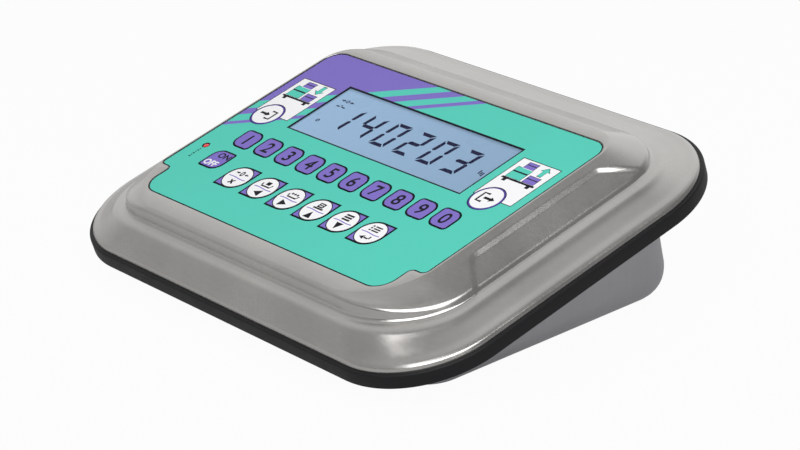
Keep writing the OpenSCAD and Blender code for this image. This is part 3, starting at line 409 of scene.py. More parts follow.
def key_outline(k, name, grow):
    """The plan of one key, grown by an even margin."""
    if name in ROUND_KEYS:
        return circle(*key_middle(k, name), k.round_r + grow, 64)
    if name == "power":
        shape = leaf(k.power_w + 2 * grow, k.power_h + 2 * grow, k.number_r + grow, True,
                     small=k.power_corner + grow)
    elif name[0] == "f":
        size = k.function_size + 2 * grow
        shape = leaf(size, size, size * FACE_ROUND, True, 24)
    else:
        size = k.number_size + 2 * grow
        shape = leaf(size, size, k.number_r + grow, False, small=k.number_corner + grow)
    return moved(shape, *key_middle(k, name))


NUMBER_KEYS = [str(i % 10) for i in range(1, 11)]
FUNCTION_KEYS = ["f%d" % i for i in range(1, 7)]
ROUND_KEYS = ["in", "out"]
ALL_KEYS = NUMBER_KEYS + ["power"] + FUNCTION_KEYS + ROUND_KEYS


def window_outline(d, grow):
    x = d.window_w / 2 + grow
    return rectangle(-x, d.window_rise - grow, x, d.window_rise + d.window_h + grow)


# Plates: a flat sheet with holes, and areas of ink on its top


def inside(points, loops):
    """Which points lie within an odd number of the loops."""
    count = np.zeros(len(points), int)
    for loop in loops:
        a = np.array(loop)
        b = np.roll(a, -1, axis=0)
        near = ((points[:, 0] > a[:, 0].min()) & (points[:, 0] < a[:, 0].max())
                & (points[:, 1] > a[:, 1].min()) & (points[:, 1] < a[:, 1].max()))
        x = points[near, 0][:, None]
        y = points[near, 1][:, None]
        spans = (a[:, 1] > y) != (b[:, 1] > y)
        rise = np.where(b[:, 1] == a[:, 1], 1.0, b[:, 1] - a[:, 1])
        cross = a[:, 0] + (y - a[:, 1]) * (b[:, 0] - a[:, 0]) / rise
        count[near] += (spans & (x < cross)).sum(axis=1)
    return count % 2 == 1


def triangulated(outline, holes, inks):
    """Points and triangles inside the outline, with the ink of each triangle."""
    points = []
    edges = []
    for loop in [outline] + holes + [l for loops in inks for l in loops]:
        start = len(points)
        points += [Vector((x / MM, y / MM)) for x, y in loop]
        edges += [(start + i, start + (i + 1) % len(loop)) for i in range(len(loop))]
    made = delaunay_2d_cdt(points, edges, [], 0, 1e-5, False)
    flat = np.array([(v.x, v.y) for v in made[0]]) * MM
    faces = np.array([f for f in made[2] if len(f) == 3])
    middles = flat[faces].mean(axis=1)
    keep = inside(middles, [outline] + holes)
    faces = faces[keep]
    middles = middles[keep]
    ink = np.zeros(len(faces), int)
    for number, loops in enumerate(inks, 1):
        ink[inside(middles, loops)] = number
    return flat, faces, ink


# Keeps the rim from being pushed out too far at a sharp corner
LEAST_PUSH = 0.3


def plate(name, outline, holes, inks, materials, levels, place):
    """A closed sheet. levels is a list of (growth, height) from the printed top to the underside."""
    flat, faces, ink = triangulated(outline, holes, inks)
    ahead = set()
    for a, b, c in faces:
        ahead.update(((a, b), (b, c), (c, a)))
    rim = [(p, q) for a, b, c in faces for p, q in ((a, b), (b, c), (c, a)) if (q, p) not in ahead]
    normal = {}
    for p, q in rim:
        way = flat[q] - flat[p]
        out = np.array((way[1], -way[0])) / np.linalg.norm(way)
        normal.setdefault(p, []).append(out)
        normal.setdefault(q, []).append(out)
    rim_points = list(normal)
    push = {}
    for p in rim_points:
        first, last = normal[p][0], normal[p][-1]
        push[p] = first if len(normal[p]) == 1 else sum(normal[p]) / max(1 + first @ last, LEAST_PUSH)
    used = sorted(set(faces.ravel()))
    verts = []
    top = {}
    for p in used:
        top[p] = len(verts)
        grown = flat[p] + push[p] * levels[0][0] if p in push else flat[p]
        verts.append((grown[0], grown[1], levels[0][1]))
    rings = [top]
    for growth, z in levels[1:]:
        ring = {}
        for p in rim_points:
            ring[p] = len(verts)
            grown = flat[p] + push[p] * growth
            verts.append((grown[0], grown[1], z))
        rings.append(ring)
    under = dict(rings[-1])
    for p in used:
        if p not in under:
            under[p] = len(verts)
            verts.append((flat[p][0], flat[p][1], levels[-1][1]))
    polygons = [(top[a], top[b], top[c]) for a, b, c in faces]
    indices = [int(i) for i in ink]
    for upper, lower in zip(rings, rings[1:]):
        polygons += [(upper[q], upper[p], lower[p], lower[q]) for p, q in rim]
        indices += [0] * len(rim)
    polygons += [(under[c], under[b], under[a]) for a, b, c in faces]
    indices += [0] * len(faces)
    return new_piece(name, verts, polygons, materials, indices, place, sharp=30)


def new_object(name, data):
    """An object in the scene, at the origin."""
    made = bpy.data.objects.new(name, data)
    bpy.context.scene.collection.objects.link(made)
    return made


def smoothed(mesh, degrees):
    """Shades a mesh smooth, but for the edges where its faces turn by more than an angle."""
    mesh.shade_smooth()
    mesh.set_sharp_from_angle(angle=math.radians(degrees))


def new_piece(name, verts, faces, materials, indices=None, place=None, sharp=None):
    """A mesh object at the origin, with its place in its mesh."""
    mesh = bpy.data.meshes.new(name)
    mesh.from_pydata([tuple(map(float, v)) for v in verts], [], faces)
    for material in materials:
        mesh.materials.append(material)
    if indices is not None:
        mesh.polygons.foreach_set("material_index", indices)
    if place is not None:
        mesh.transform(place)
    if sharp is not None:
        smoothed(mesh, sharp)
    mesh.update()
    return new_object(name, mesh)


def shown_mesh(piece):
    """A new mesh of what an object shows, with its modifiers at work."""
    bpy.context.view_layer.update()
    shown = piece.evaluated_get(bpy.context.evaluated_depsgraph_get())
    return bpy.data.meshes.new_from_object(shown)


def applied(piece):
    """Keeps what a piece's modifiers make as its plain mesh."""
    made = shown_mesh(piece)
    piece.modifiers.clear()
    old = piece.data
    piece.data = made
    bpy.data.meshes.remove(old)
    made.name = piece.name


def settled(piece, body, slot, *nodes):
    """Hands a finished piece to the frame."""
    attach(piece, body)
    if nodes:
        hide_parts(*nodes)
    return piece


def words_outline(text, height, x, y, bold):
    """The outlines of a short text about a middle point, from Blender's own font."""
    curve = bpy.data.curves.new("letters", "FONT")
    curve.body = text
    curve.size = 1.0
    curve.offset = bold
    curve.resolution_u = 6
    letters = new_object("letters", curve)
    mesh = shown_mesh(letters)
    bpy.data.objects.remove(letters)
    bpy.data.curves.remove(curve)
    flat = bmesh.new()
    flat.from_mesh(mesh)
    bpy.data.meshes.remove(mesh)
    bmesh.ops.remove_doubles(flat, verts=flat.verts, dist=1e-5)
    loops = []
    waiting = [e for e in flat.edges if len(e.link_faces) == 1]
    while waiting:
        start, here = waiting.pop().verts
        loop = [start.co.copy(), here.co.copy()]
        while here != start:
            ahead = next((e for e in here.link_edges if e in waiting), None)
            if ahead is None:
                break
            waiting.remove(ahead)
            here = ahead.other_vert(here)
            loop.append(here.co.copy())
        loops.append([(p.x, p.y) for p in loop[:-1]])
    flat.free()
    every = np.array([p for loop in loops for p in loop])
    low = every.min(axis=0)
    high = every.max(axis=0)
    middle = (low + high) / 2
    size = height / (high[1] - low[1])
    return [[((px - middle[0]) * size + x, (py - middle[1]) * size + y) for px, py in loop]
            for loop in loops]


# Materials


def kept(store, name, build):
    """A material or a node tree by its name, built the first time."""
    return store.get(name) or build(name)


def fed(tree, socket, value):
    """Gives an input a value, or joins it to the output that feeds it."""
    if isinstance(value, bpy.types.NodeSocket):
        tree.links.new(value, socket)
    else:
        socket.default_value = value


def new_node(tree, kind, modes=None, **inputs):
    """A node with its modes set first, and then its inputs by name."""
    made = tree.nodes.new(kind)
    for name, mode in (modes or {}).items():
        setattr(made, name, mode)
    for name, value in inputs.items():
        fed(tree, made.inputs[name.replace("_", " ")], value)
    return made


def math_node(tree, operation, first, second):
    made = new_node(tree, "ShaderNodeMath", {"operation": operation})
    fed(tree, made.inputs[0], first)
    fed(tree, made.inputs[1], second)
    return made.outputs[0]


def noise_node(tree, where, scale, detail, roughness=0.5):
    return new_node(tree, "ShaderNodeTexNoise", Vector=where, Scale=scale, Detail=detail,
                    Roughness=roughness).outputs[0]


def ranged(tree, value, source, target, smooth=False):
    """A value carried from one pair of ends to another."""
    modes = {"interpolation_type": "SMOOTHSTEP" if smooth else "LINEAR"}
    return new_node(tree, "ShaderNodeMapRange", modes, Value=value, From_Min=source[0],
                    From_Max=source[1], To_Min=target[0], To_Max=target[1]).outputs["Result"]


def tinted(tree, tone, level):
    """A colour times a level."""
    modes = {"data_type": "RGBA", "blend_type": "MULTIPLY"}
    return new_node(tree, "ShaderNodeMix", modes, Factor=1.0, A=tone, B=level).outputs["Result"]


def swung(tree, middle, noise, spread):
    """A middle value that swings with a noise."""
    swing = math_node(tree, "MULTIPLY", math_node(tree, "SUBTRACT", noise, 0.5), spread)
    return math_node(tree, "ADD", middle, swing)


SOCKET_KINDS = {1: "NodeSocketFloat", 3: "NodeSocketVector", 4: "NodeSocketColor"}


def look_group(name, **inputs):
    """A shader group with named inputs that puts out a colour, a roughness and a height."""
    tree = bpy.data.node_groups.new(name, "ShaderNodeTree")
    for label, default in inputs.items():
        kind = SOCKET_KINDS[np.size(default)]
        socket = tree.interface.new_socket(label.replace("_", " "), in_out="INPUT", socket_type=kind)
        socket.default_value = default
    for label, count in (("Color", 4), ("Roughness", 1), ("Height", 1)):
        tree.interface.new_socket(label, in_out="OUTPUT", socket_type=SOCKET_KINDS[count])
    return tree, tree.nodes.new("NodeGroupInput").outputs, tree.nodes.new("NodeGroupOutput").inputs


# How much of the change in a brushed metal comes from its fine grain
FINE_SHARE = 0.35


def grain_group(name):
    """Fine drawn grain with broad smudges, for brushed metal."""
    tree, sent, made = look_group(name, Scale=900.0, Along=(0.06, 1.0, 1.0), Smudge_Scale=28.0,
                                  Tone=(0.6, 0.6, 0.6, 1.0), Roughness=0.3, Spread=0.1)
    where = new_node(tree, "ShaderNodeTexCoord").outputs["Object"]
    drawn = new_node(tree, "ShaderNodeMapping", Vector=where, Scale=sent["Along"]).outputs["Vector"]
    fine = noise_node(tree, drawn, sent["Scale"], 4.0, 0.6)
    smudge = noise_node(tree, where, sent["Smudge Scale"], 3.0)
    both = math_node(tree, "ADD", math_node(tree, "MULTIPLY", fine, FINE_SHARE),
                     math_node(tree, "MULTIPLY", smudge, 1 - FINE_SHARE))
    fed(tree, made["Color"], tinted(tree, sent["Tone"], ranged(tree, both, (0.0, 1.0), (0.8, 1.15))))
    fed(tree, made["Roughness"], swung(tree, sent["Roughness"], both, sent["Spread"]))
    fed(tree, made["Height"], fine)
    return tree


def mottle_group(name):
    """Faint mottling and a fine skin, for printed film, rubber and moulded plastic."""
    tree, sent, made = look_group(name, Tone=(0.5, 0.5, 0.5, 1.0), Scale=60.0, Skin_Scale=2500.0,
                                  Change=0.06, Roughness=0.4, Spread=0.1)
    where = new_node(tree, "ShaderNodeTexCoord").outputs["Object"]
    broad = noise_node(tree, where, sent["Scale"], 3.0)
    fed(tree, made["Color"], tinted(tree, sent["Tone"], swung(tree, 1.0, broad, sent["Change"])))
    fed(tree, made["Roughness"], swung(tree, sent["Roughness"], broad, sent["Spread"]))
    fed(tree, made["Height"], noise_node(tree, where, sent["Skin Scale"], 2.0))
    return tree


GRAIN = ("Drawn grain", grain_group)
MOTTLE = ("Mottled skin", mottle_group)


class Finish:
    """A new material whose surface is fed by one of the two groups."""

    def __init__(self, name, look, **values):
        self.material = bpy.data.materials.new(name)
        self.material.use_nodes = True
        self.tree = self.material.node_tree
        self.surface = self.tree.nodes["Principled BSDF"]
        group = kept(bpy.data.node_groups, *look)
        self.skin = new_node(self.tree, "ShaderNodeGroup", {"node_tree": group}, **values).outputs

    def feed(self, bump=0.0, depth=0.0, tone=None, glow=False, **values):
        """Joins colour, roughness and height to the surface, and sets its plain values."""
        into = self.surface.inputs
        tone = self.skin["Color"] if tone is None else tone
        fed(self.tree, into["Base Color"], tone)
        fed(self.tree, into["Roughness"], self.skin["Roughness"])
        if glow:
            fed(self.tree, into["Emission Color"], tone)
        if bump:
            ridges = new_node(self.tree, "ShaderNodeBump", Strength=bump, Distance=depth,
                              Height=self.skin["Height"])
            fed(self.tree, into["Normal"], ridges.outputs["Normal"])
        for name, value in values.items():
            into[name.replace("_", " ")].default_value = value
        return self.material


def metal(name, tone, roughness, scale=900.0, along=(0.06, 1.0, 1.0), spread=0.12, bump=0.12,
          depth=0.00002):
    def build(name):
        finish = Finish(name, GRAIN, Scale=scale, Along=along, Tone=(*tone, 1.0), Roughness=roughness,
                        Spread=spread)
        return finish.feed(bump, depth, Metallic=1.0)
    return kept(bpy.data.materials, name, build)


def skinned(name, tone, roughness, scale=60.0, skin=2500.0, change=0.08, spread=0.12,
            bump=0.15, depth=0.00003, glow=False, **values):
    def build(name):
        finish = Finish(name, MOTTLE, Tone=(*tone, 1.0), Scale=scale, Skin_Scale=skin, Change=change,
                        Roughness=roughness, Spread=spread)
        return finish.feed(bump, depth, glow=glow, **values)
    return kept(bpy.data.materials, name, build)


def film_ink(name, tone):
    """Screen print under a satin polyester film."""
    return skinned(name, tone, 0.48, scale=45.0, skin=1800.0, change=0.05, spread=0.08,
                   bump=0.08, depth=0.00001, Specular_IOR_Level=0.1)


def inks(s):
    """The inks of the film and of the keys."""
    names = ("teal", "violet", "deep_violet", "white", "ink")
    return SimpleNamespace(**{name: film_ink("film_" + name, getattr(s.colours, name))
                              for name in names})


# Artwork, as outlines in the plane of the panel


STRIPE_EDGES = ((28.3, -20.25), (20.5, -10.25), (14.2, 0.05), (6.9, 9.75), (3.6, 16.05))
STRIPE_LEFT_X = -0.10215


def stripe_field(k, first, last):
    """The band between two stripe edges, from the film's left side to its rear."""
    def ends(edge):
        left_y, rear_x = (value * MM for value in edge)
        slope = (k.film_rear - left_y) / (rear_x - STRIPE_LEFT_X)
        reach = k.notch_w
        return ((STRIPE_LEFT_X - reach, left_y - slope * reach),
                (rear_x + reach, k.film_rear + slope * reach))
    low = ends(STRIPE_EDGES[last])
    if first is None:
        corner = (STRIPE_LEFT_X - k.notch_w, k.film_rear + k.notch_w)
        return [low[0], low[1], corner]
    high = ends(STRIPE_EDGES[first])
    return [low[0], low[1], high[1], high[0]]


def seven_segments(d, number):
    """The lit strokes of one digit, about its lower left end."""
    w, h, t = d.digit_w, d.digit_h, d.stroke / 2
    m = h / 2
    g = t * 0.3
    lit = {"0": "abcdef", "1": "bc", "2": "abged", "3": "abgcd", "4": "fgbc"}[number]
    shapes = {
        "a": [(t + g, h - t), (w - t - g, h - t), (w + t - 2 * g, h + t), (2 * g - t, h + t)],
        "b": [(w, m + g), (w + t, m + t), (w + t, h + t - 2 * g), (w - t, h - t - g), (w - t, m + t)],
        "c": [(w, m - g), (w - t, m - t), (w - t, t + g), (w + t, 2 * g - t), (w + t, m - t)],
        "d": [(2 * g - t, -t), (w + t - 2 * g, -t), (w - t - g, t), (t + g, t)],
        "e": [(0, m - g), (-t, m - t), (-t, 2 * g - t), (t, t + g), (t, m - t)],
        "f": [(0, m + g), (t, m + t), (t, h - t - g), (-t, h + t - 2 * g), (-t, m + t)],
        "g": [(g, m), (t, m - t), (w - t, m - t), (w - g, m), (w - t, m + t), (t, m + t)]}
    lean = math.tan(d.slant)
    return [[(x + y * lean, y) for x, y in shapes[part]] for part in lit]


def arrow(x, y, size, turn):
    """A solid triangle about a point. turn counts quarter turns from pointing right."""
    points = [(-0.5, -0.5), (0.5, 0.0), (-0.5, 0.5)]
    for _ in range(turn):
        points = [(-py, px) for px, py in points]
    return moved(scaled(points, size, size), x, y)


def shafted_arrow(width, height):
    """An arrow with a shaft, which points right."""
    points = [(-0.5, -0.22), (0.08, -0.22), (0.08, -0.5), (0.5, 0.0), (0.08, 0.5), (0.08, 0.22),
              (-0.5, 0.22)]
    return scaled(points, width, height)


def ring(x, y, radius, width):
    return [circle(x, y, radius), circle(x, y, radius - width)]


def bar(x, y, width, height):
    return rectangle(x - width / 2, y - height / 2, x + width / 2, y + height / 2)


def wave(x, y, width, height, swing, steps=16):
    """A thin wavy line about a point."""
    upper = []
    lower = []
    for i in range(steps + 1):
        across = x + width * (i / steps - 0.5)
        rise = y + swing * math.sin(2 * math.pi * i / steps)
        upper.append((across, rise + height / 2))
        lower.append((across, rise - height / 2))
    return lower + upper[::-1]


def stroke_line(points, width):
    """A line of even width through points, as a closed outline."""
    left = []
    right = []
    for i, (x, y) in enumerate(points):
        before = points[max(i - 1, 0)]
        after = points[min(i + 1, len(points) - 1)]
        way = Vector((after[0] - before[0], after[1] - before[1])).normalized()
        left.append((x - way.y * width / 2, y + way.x * width / 2))
        right.append((x + way.y * width / 2, y - way.x * width / 2))
    return right + left[::-1]


# The function keys' symbols, which stand in place of words: outlines about their middle, in
# units of about a third of their width

WORD_BOLD = 0.03


def zero_symbol():
    """A nought between two arrows that point at it."""
    return [arrow(-1.0, 0, 0.7, 0), bar(-1.6, 0, 0.5, 0.3), arrow(1.0, 0, 0.7, 2),
            bar(1.6, 0, 0.5, 0.3)] + words_outline("0", 1.5, 0, 0, WORD_BOLD)


def open_tray():
    return stroke_line([(-1.5, 0.1), (-1.2, -0.75), (1.2, -0.75), (1.5, 0.1)], 0.4)


def tray_symbol():
    """An open tray, with a load above it."""
    return [open_tray(), bar(0, 0.25, 1.2, 1.0)]


def preset_symbol():
    """An open tray, with three marks above it."""
    return [open_tray()] + [circle(i * 0.75, 0.3, 0.3, 16) for i in (-1, 0, 1)]


def sheet_symbol():
    """A sheet that comes out of a slot."""
    lines = [bar(0, lift, 1.0, 0.2) for lift in (0.55, 0.05)]
    return [rectangle(-0.85, -0.45, 0.85, 0.95)] + lines + [bar(0, -0.75, 2.8, 0.42)]


def store_symbol():
    """A stack of three discs."""
    return [bar(0, lift, 2.2, 0.46) for lift in (0.68, 0.0, -0.68)]


def list_symbol():
    """Three lines, each with a mark before it."""
    return [mark for lift in (0.62, 0.0, -0.62)
            for mark in (bar(0.3, lift, 1.9, 0.36), bar(-1.2, lift, 0.5, 0.38))]


def cross_symbol():
    reach = 0.62
    width = 0.44
    near = width * 0.36
    return [stroke_line([(-reach, -reach), (reach, reach)], width),
            stroke_line([(-reach, reach), (-near, near)], width),
            stroke_line([(near, -near), (reach, -reach)], width)]


def return_symbol():
    """A line that turns back to the left, with an arrow head."""
    return [stroke_line([(1.2, 0.75), (1.2, -0.1)], 0.4), bar(0.33, -0.1, 1.3, 0.4),
            arrow(-0.85, -0.1, 1.3, 2)]


# The symbol above the wavy line, and the one below it or an arrow's quarter turns
FUNCTION_SYMBOLS = {
    "f1": (zero_symbol, cross_symbol), "f2": (tray_symbol, 2), "f3": (preset_symbol, 0),
    "f4": (sheet_symbol, 1), "f5": (store_symbol, 3), "f6": (list_symbol, return_symbol)}


def way_symbol(name):
    """An arrow into a tray, or out of it."""
    side = -1 if name == "in" else 1
    tray = [(-0.2 * side, 1.0), (-1.35 * side, 1.0), (-1.35 * side, -1.0), (-0.2 * side, -1.0)]
    return [stroke_line(tray, 0.42), moved(shafted_arrow(2.2, 1.15), 0.55 * side, 0)]


def symbol_at(loops, x, y, unit):
    return [moved(scaled(loop, unit, unit), x, y) for loop in loops]


# Operators


class OBJECT_OT_indicator_cover(Operator):
    """Makes the pressed steel cover, with its stepped slopes, side pockets and keypad well"""
    bl_idname = "object.indicator_cover"
    bl_label = "Cover"

    def execute(self, context):
        s = settings(context)
        steel = metal("satin_steel", s.colours.steel, 0.25, scale=800.0, along=(0.3, 1.0, 1.0),
                      spread=0.2, bump=0.04, depth=0.00003)
        cover = new_piece("pressed_cover", *cover_shell(s), [steel], None, panel_place(s), sharp=42)
        settled(cover, BODY, "steel", "front_cover")
        return {"FINISHED"}


# Shares of the slope's width at the side, front and rear, then of the drop at each
COVER_SHARES = (
    (0, 0, 0, 0, 0, 0),
    (0.11, 0.04, 0.1, 0.11, 0.015, 0.1),
    (0.333, 0.1, 0.32, 0.345, 0.045, 0.34),
    (0.425, 0.15, 0.415, 0.45, 0.1, 0.45),
    (0.453, 0.205, 0.44, 0.585, 0.37, 0.64),
    (0.575, 0.5, 0.56, 0.61, 0.41, 0.71),
    (0.667, 0.66, 0.66, 0.705, 0.56, 0.765),
    (0.847, 0.865, 0.86, 0.84, 0.8, 0.87),
    (0.94, 0.955, 0.95, 0.89, 0.89, 0.905),
    (0.985, 0.985, 0.985, 0.935, 0.935, 0.94),
    (1, 1, 1, 1, 1, 1))
# The last row of the table that the pocket reaches, and the radius of its front corner
POCKET_LAST_TURN = 3
POCKET_CORNER = 0.006
# The eased edge of the keypad well: growth and height of each ring
WELL_EDGE = ((0.0003, 0.0), (0.00017, -0.00003), (0.00006, -0.0001), (0.0, -0.00025))
# Steps along each side, which give the pocket its edges
SIDE_STEPS = 140
# How much of the way to the next turn each rounded corner of the slope takes
TURN_SHARE = 0.28
# The underside keeps one ring in so many
UNDERSIDE_SKIP = 4


def smooth_column(values, steps):
    """A column of the table with steps between its turns, and a rounded corner at each turn."""
    values = np.asarray(values, float)
    last = len(values) - 1
    made = []
    for i in range(last * steps + 1):
        place = i / steps
        turn = round(place)
        offset = place - turn
        if 0 < turn < last and abs(offset) < TURN_SHARE:
            before = values[turn] + (values[turn - 1] - values[turn]) * TURN_SHARE
            after = values[turn] + (values[turn + 1] - values[turn]) * TURN_SHARE
            t = (offset + TURN_SHARE) / (2 * TURN_SHARE)
            made.append(before * (1 - t)**2 + 2 * values[turn] * t * (1 - t) + after * t**2)
        else:
            low = min(int(place), last - 1)
            made.append(values[low] + (values[low + 1] - values[low]) * (place - low))
    return np.array(made)


def eased(t):
    return (1 - math.cos(math.pi * min(max(t, 0.0), 1.0))) / 2


def corner_distance(a, b, radius):
    """How far a point lies inside two edges that meet in a round corner."""
    if a < radius and b < radius:
        return radius - math.hypot(radius - a, radius - b)
    return min(a, b)


def pocket_dent(c, p, x, y, turn):
    """Height lost to the pocket in the side slope at one place."""
    u = abs(x) - p.flat_x - c.pocket_edge * c.slope_side
    front = y + c.pocket_front + u * c.pocket_front_flare + c.sheet_t
    rear = (c.pocket_rear + u * c.pocket_rear_flare - y) / (2 * c.sheet_t) + 0.5
    front_corner = corner_distance(2 * u, front, POCKET_CORNER)
    return (c.pocket_depth * eased(front_corner / (2 * c.sheet_t)) * eased(rear)
            * eased((POCKET_LAST_TURN + 1 - turn) * 2))


def cover_loop(s, p, reach, height, radii, turn):
    """One ring of the cover. reach and height are for the side, front and rear."""
    c = s.cover
    n = c.corner_steps
    x, front, rear = p.flat_x + reach[0], p.flat_y0 + reach[1], p.flat_y1 + reach[2]
    r0, r1 = radii
    right = []
    for j, (px, py) in enumerate(arc(x - r0, r0 - front, r0, -90, 0, n)):
        right.append((px, py, height[1] + (height[0] - height[1]) * eased(j / n)))
    for j in range(1, SIDE_STEPS):
        t = j / SIDE_STEPS
        right.append((x, (r0 - front) * (1 - t) + (rear - r1) * t, height[0]))
    for j, (px, py) in enumerate(arc(x - r1, rear - r1, r1, 0, 90, n)):
        right.append((px, py, height[0] + (height[2] - height[0]) * eased(j / n)))
    dented = [(px, py, pz - pocket_dent(c, p, px, py, turn)) for px, py, pz in right]
    return dented + [(-px, py, pz) for px, py, pz in reversed(dented)]


def cover_rings(s):
    """The rings of the outer face and of the inner face, from the flat down to the lip."""
    c = s.cover
    p = plan(s)
    steps = c.ring_steps
    lowest = heights(s).well_under
    table = np.array(COVER_SHARES)
    reach = [smooth_column(table[:, i], steps) * width
             for i, width in enumerate((c.slope_side, c.slope_front, c.slope_rear))]
    fall = [smooth_column(table[:, i + 3], steps) * -c.drop for i in range(3)]
    share_out = reach[0] / c.slope_side
    count = len(share_out)
    outer = []
    inner = []
    for i in range(count):
        turn = i / steps
        r0 = c.flat_front_r + (c.lip_front_r - c.flat_front_r) * share_out[i]
        r1 = c.flat_rear_r + (c.lip_rear_r - c.flat_rear_r) * share_out[i]
        ways = [reach[q][i] for q in range(3)]
        falls = [fall[q][i] for q in range(3)]
        outer.append(cover_loop(s, p, ways, falls, (r0, r1), turn))
        if i % UNDERSIDE_SKIP == 0 or i == count - 1:
            a, b = max(i - 1, 0), min(i + 1, count - 1)
            under_ways = []
            under_falls = []
            for q in range(3):
                way = Vector((reach[q][b] - reach[q][a], fall[q][b] - fall[q][a])).normalized()
                under_ways.append(ways[q] + way.y * c.sheet_t)
                under_falls.append(min(falls[q] - way.x * c.sheet_t, lowest))
            inset = ways[0] - under_ways[0]
            inner.append(cover_loop(s, p, under_ways, under_falls, (r0 - inset, r1 - inset), turn))
    return outer, inner


def cover_shell(s):
    """The whole sheet: outer face, keypad well, skirt and inner face."""
    c = s.cover
    k = s.keypad
    d = s.display
    h = heights(s)
    outer, inner = cover_rings(s)
    skirt = [[(x, y, h.skirt) for x, y, z in face[-1]] for face in (outer, inner)]
    verts, faces = ringed(outer + skirt + inner[::-1])
    n = len(outer[0])
    edge_start = len(verts)
    last = edge_start - n

    edge = [[(x, y, z) for x, y in film_outline(k, k.film_gap + grow)] for grow, z in WELL_EDGE]
    edge.append([(x, y, h.well) for x, y in film_outline(k, k.film_gap)])
    m = len(edge[0])
    verts += [v for loop in edge for v in loop]
    faces += turned_over(band_faces(edge_start, m, len(edge)))
    faces += cap_faces(verts, [range(n), range(edge_start, edge_start + m)], True)

    slot_y = -(k.film_front + k.function_drop + k.function_size / 2) / 2
    slot_gap = c.slot_w / 2
    slot_x = c.tail_w / 2 + slot_gap
    slot = rectangle(-slot_x, slot_y - slot_gap, slot_x, slot_y + slot_gap)
    floor_loops = [range(len(verts) - m, len(verts))]
    under_loops = [range(last, last + n)]
    for loop in (window_outline(d, d.glass_margin + d.pane_gap), slot):
        start = len(verts)
        verts += [(x, y, h.well) for x, y in loop] + [(x, y, h.well_under) for x, y in loop]
        q = len(loop)
        floor_loops.append(range(start, start + q))
        under_loops.append(range(start + q, start + 2 * q))
        faces += turned_over(band_faces(start, q, 2))
    faces += cap_faces(verts, floor_loops, True)
    faces += cap_faces(verts, under_loops, False)
    return verts, faces


def turned_over(faces):
    return [tuple(reversed(face)) for face in faces]


def ringed(rings, closed=False):
    """A body from rings of points that run down its outer face, with both ends closed or open."""
    count = len(rings[0])
    verts = [v for ring in rings for v in ring]
    faces = band_faces(0, count, len(rings))
    if closed:
        last = len(verts) - count
        faces += [tuple(range(count)), tuple(last + j for j in reversed(range(count)))]
    return verts, faces


def band_faces(start, count, rings):
    """Quads between successive rings of count points, facing out where the rings go down."""
    faces = []
    for r in range(rings - 1):
        a = start + r * count
        b = a + count
        for j in range(count):
            ahead = (j + 1) % count
            faces.append((a + j, b + j, b + ahead, a + ahead))
    return faces


def cap_faces(verts, loops, upward):
    """Triangles in a level area between loops of points that are already there."""
    ids = [i for loop in loops for i in loop]
    outlines = [[verts[i][:2] for i in loop] for loop in loops]
    flat, faces = triangulated(outlines[0], outlines[1:], [])[:2]
    if len(flat) != len(ids):
        raise ValueError("a cap's outlines meet or cross")
    made = [tuple(ids[v] for v in face) for face in faces]
    return made if upward else turned_over(made)


class OBJECT_OT_indicator_case(Operator):
    """Makes the deep-drawn case, with its flange and its bored holes"""
    bl_idname = "object.indicator_case"
    bl_label = "Case"

    def execute(self, context):
        s = settings(context)
        place = panel_place(s)
        steel = metal("case_steel", s.colours.case_steel, 0.36, scale=650.0, along=(1.0, 1.0, 0.08),
                      spread=0.14, bump=0.14)
        case = new_piece("drawn_case", *case_shell(s), [steel], None, place)
        bore_case(s, case, place)
        smoothed(case.data, 38)
        settled(case, BODY, "steel", "rear_case")
        return {"FINISHED"}


# How far the wall and then its fillet lean in, and where the wall starts and ends, as shares
# of the case's depth at that place
WALL_IN_SHARE = 0.045
WALL_TOP_SHARE = 0.06
WALL_LOW_SHARE = 0.62
FILLET_IN_SHARE = 0.33
FILLET_STEPS = 12


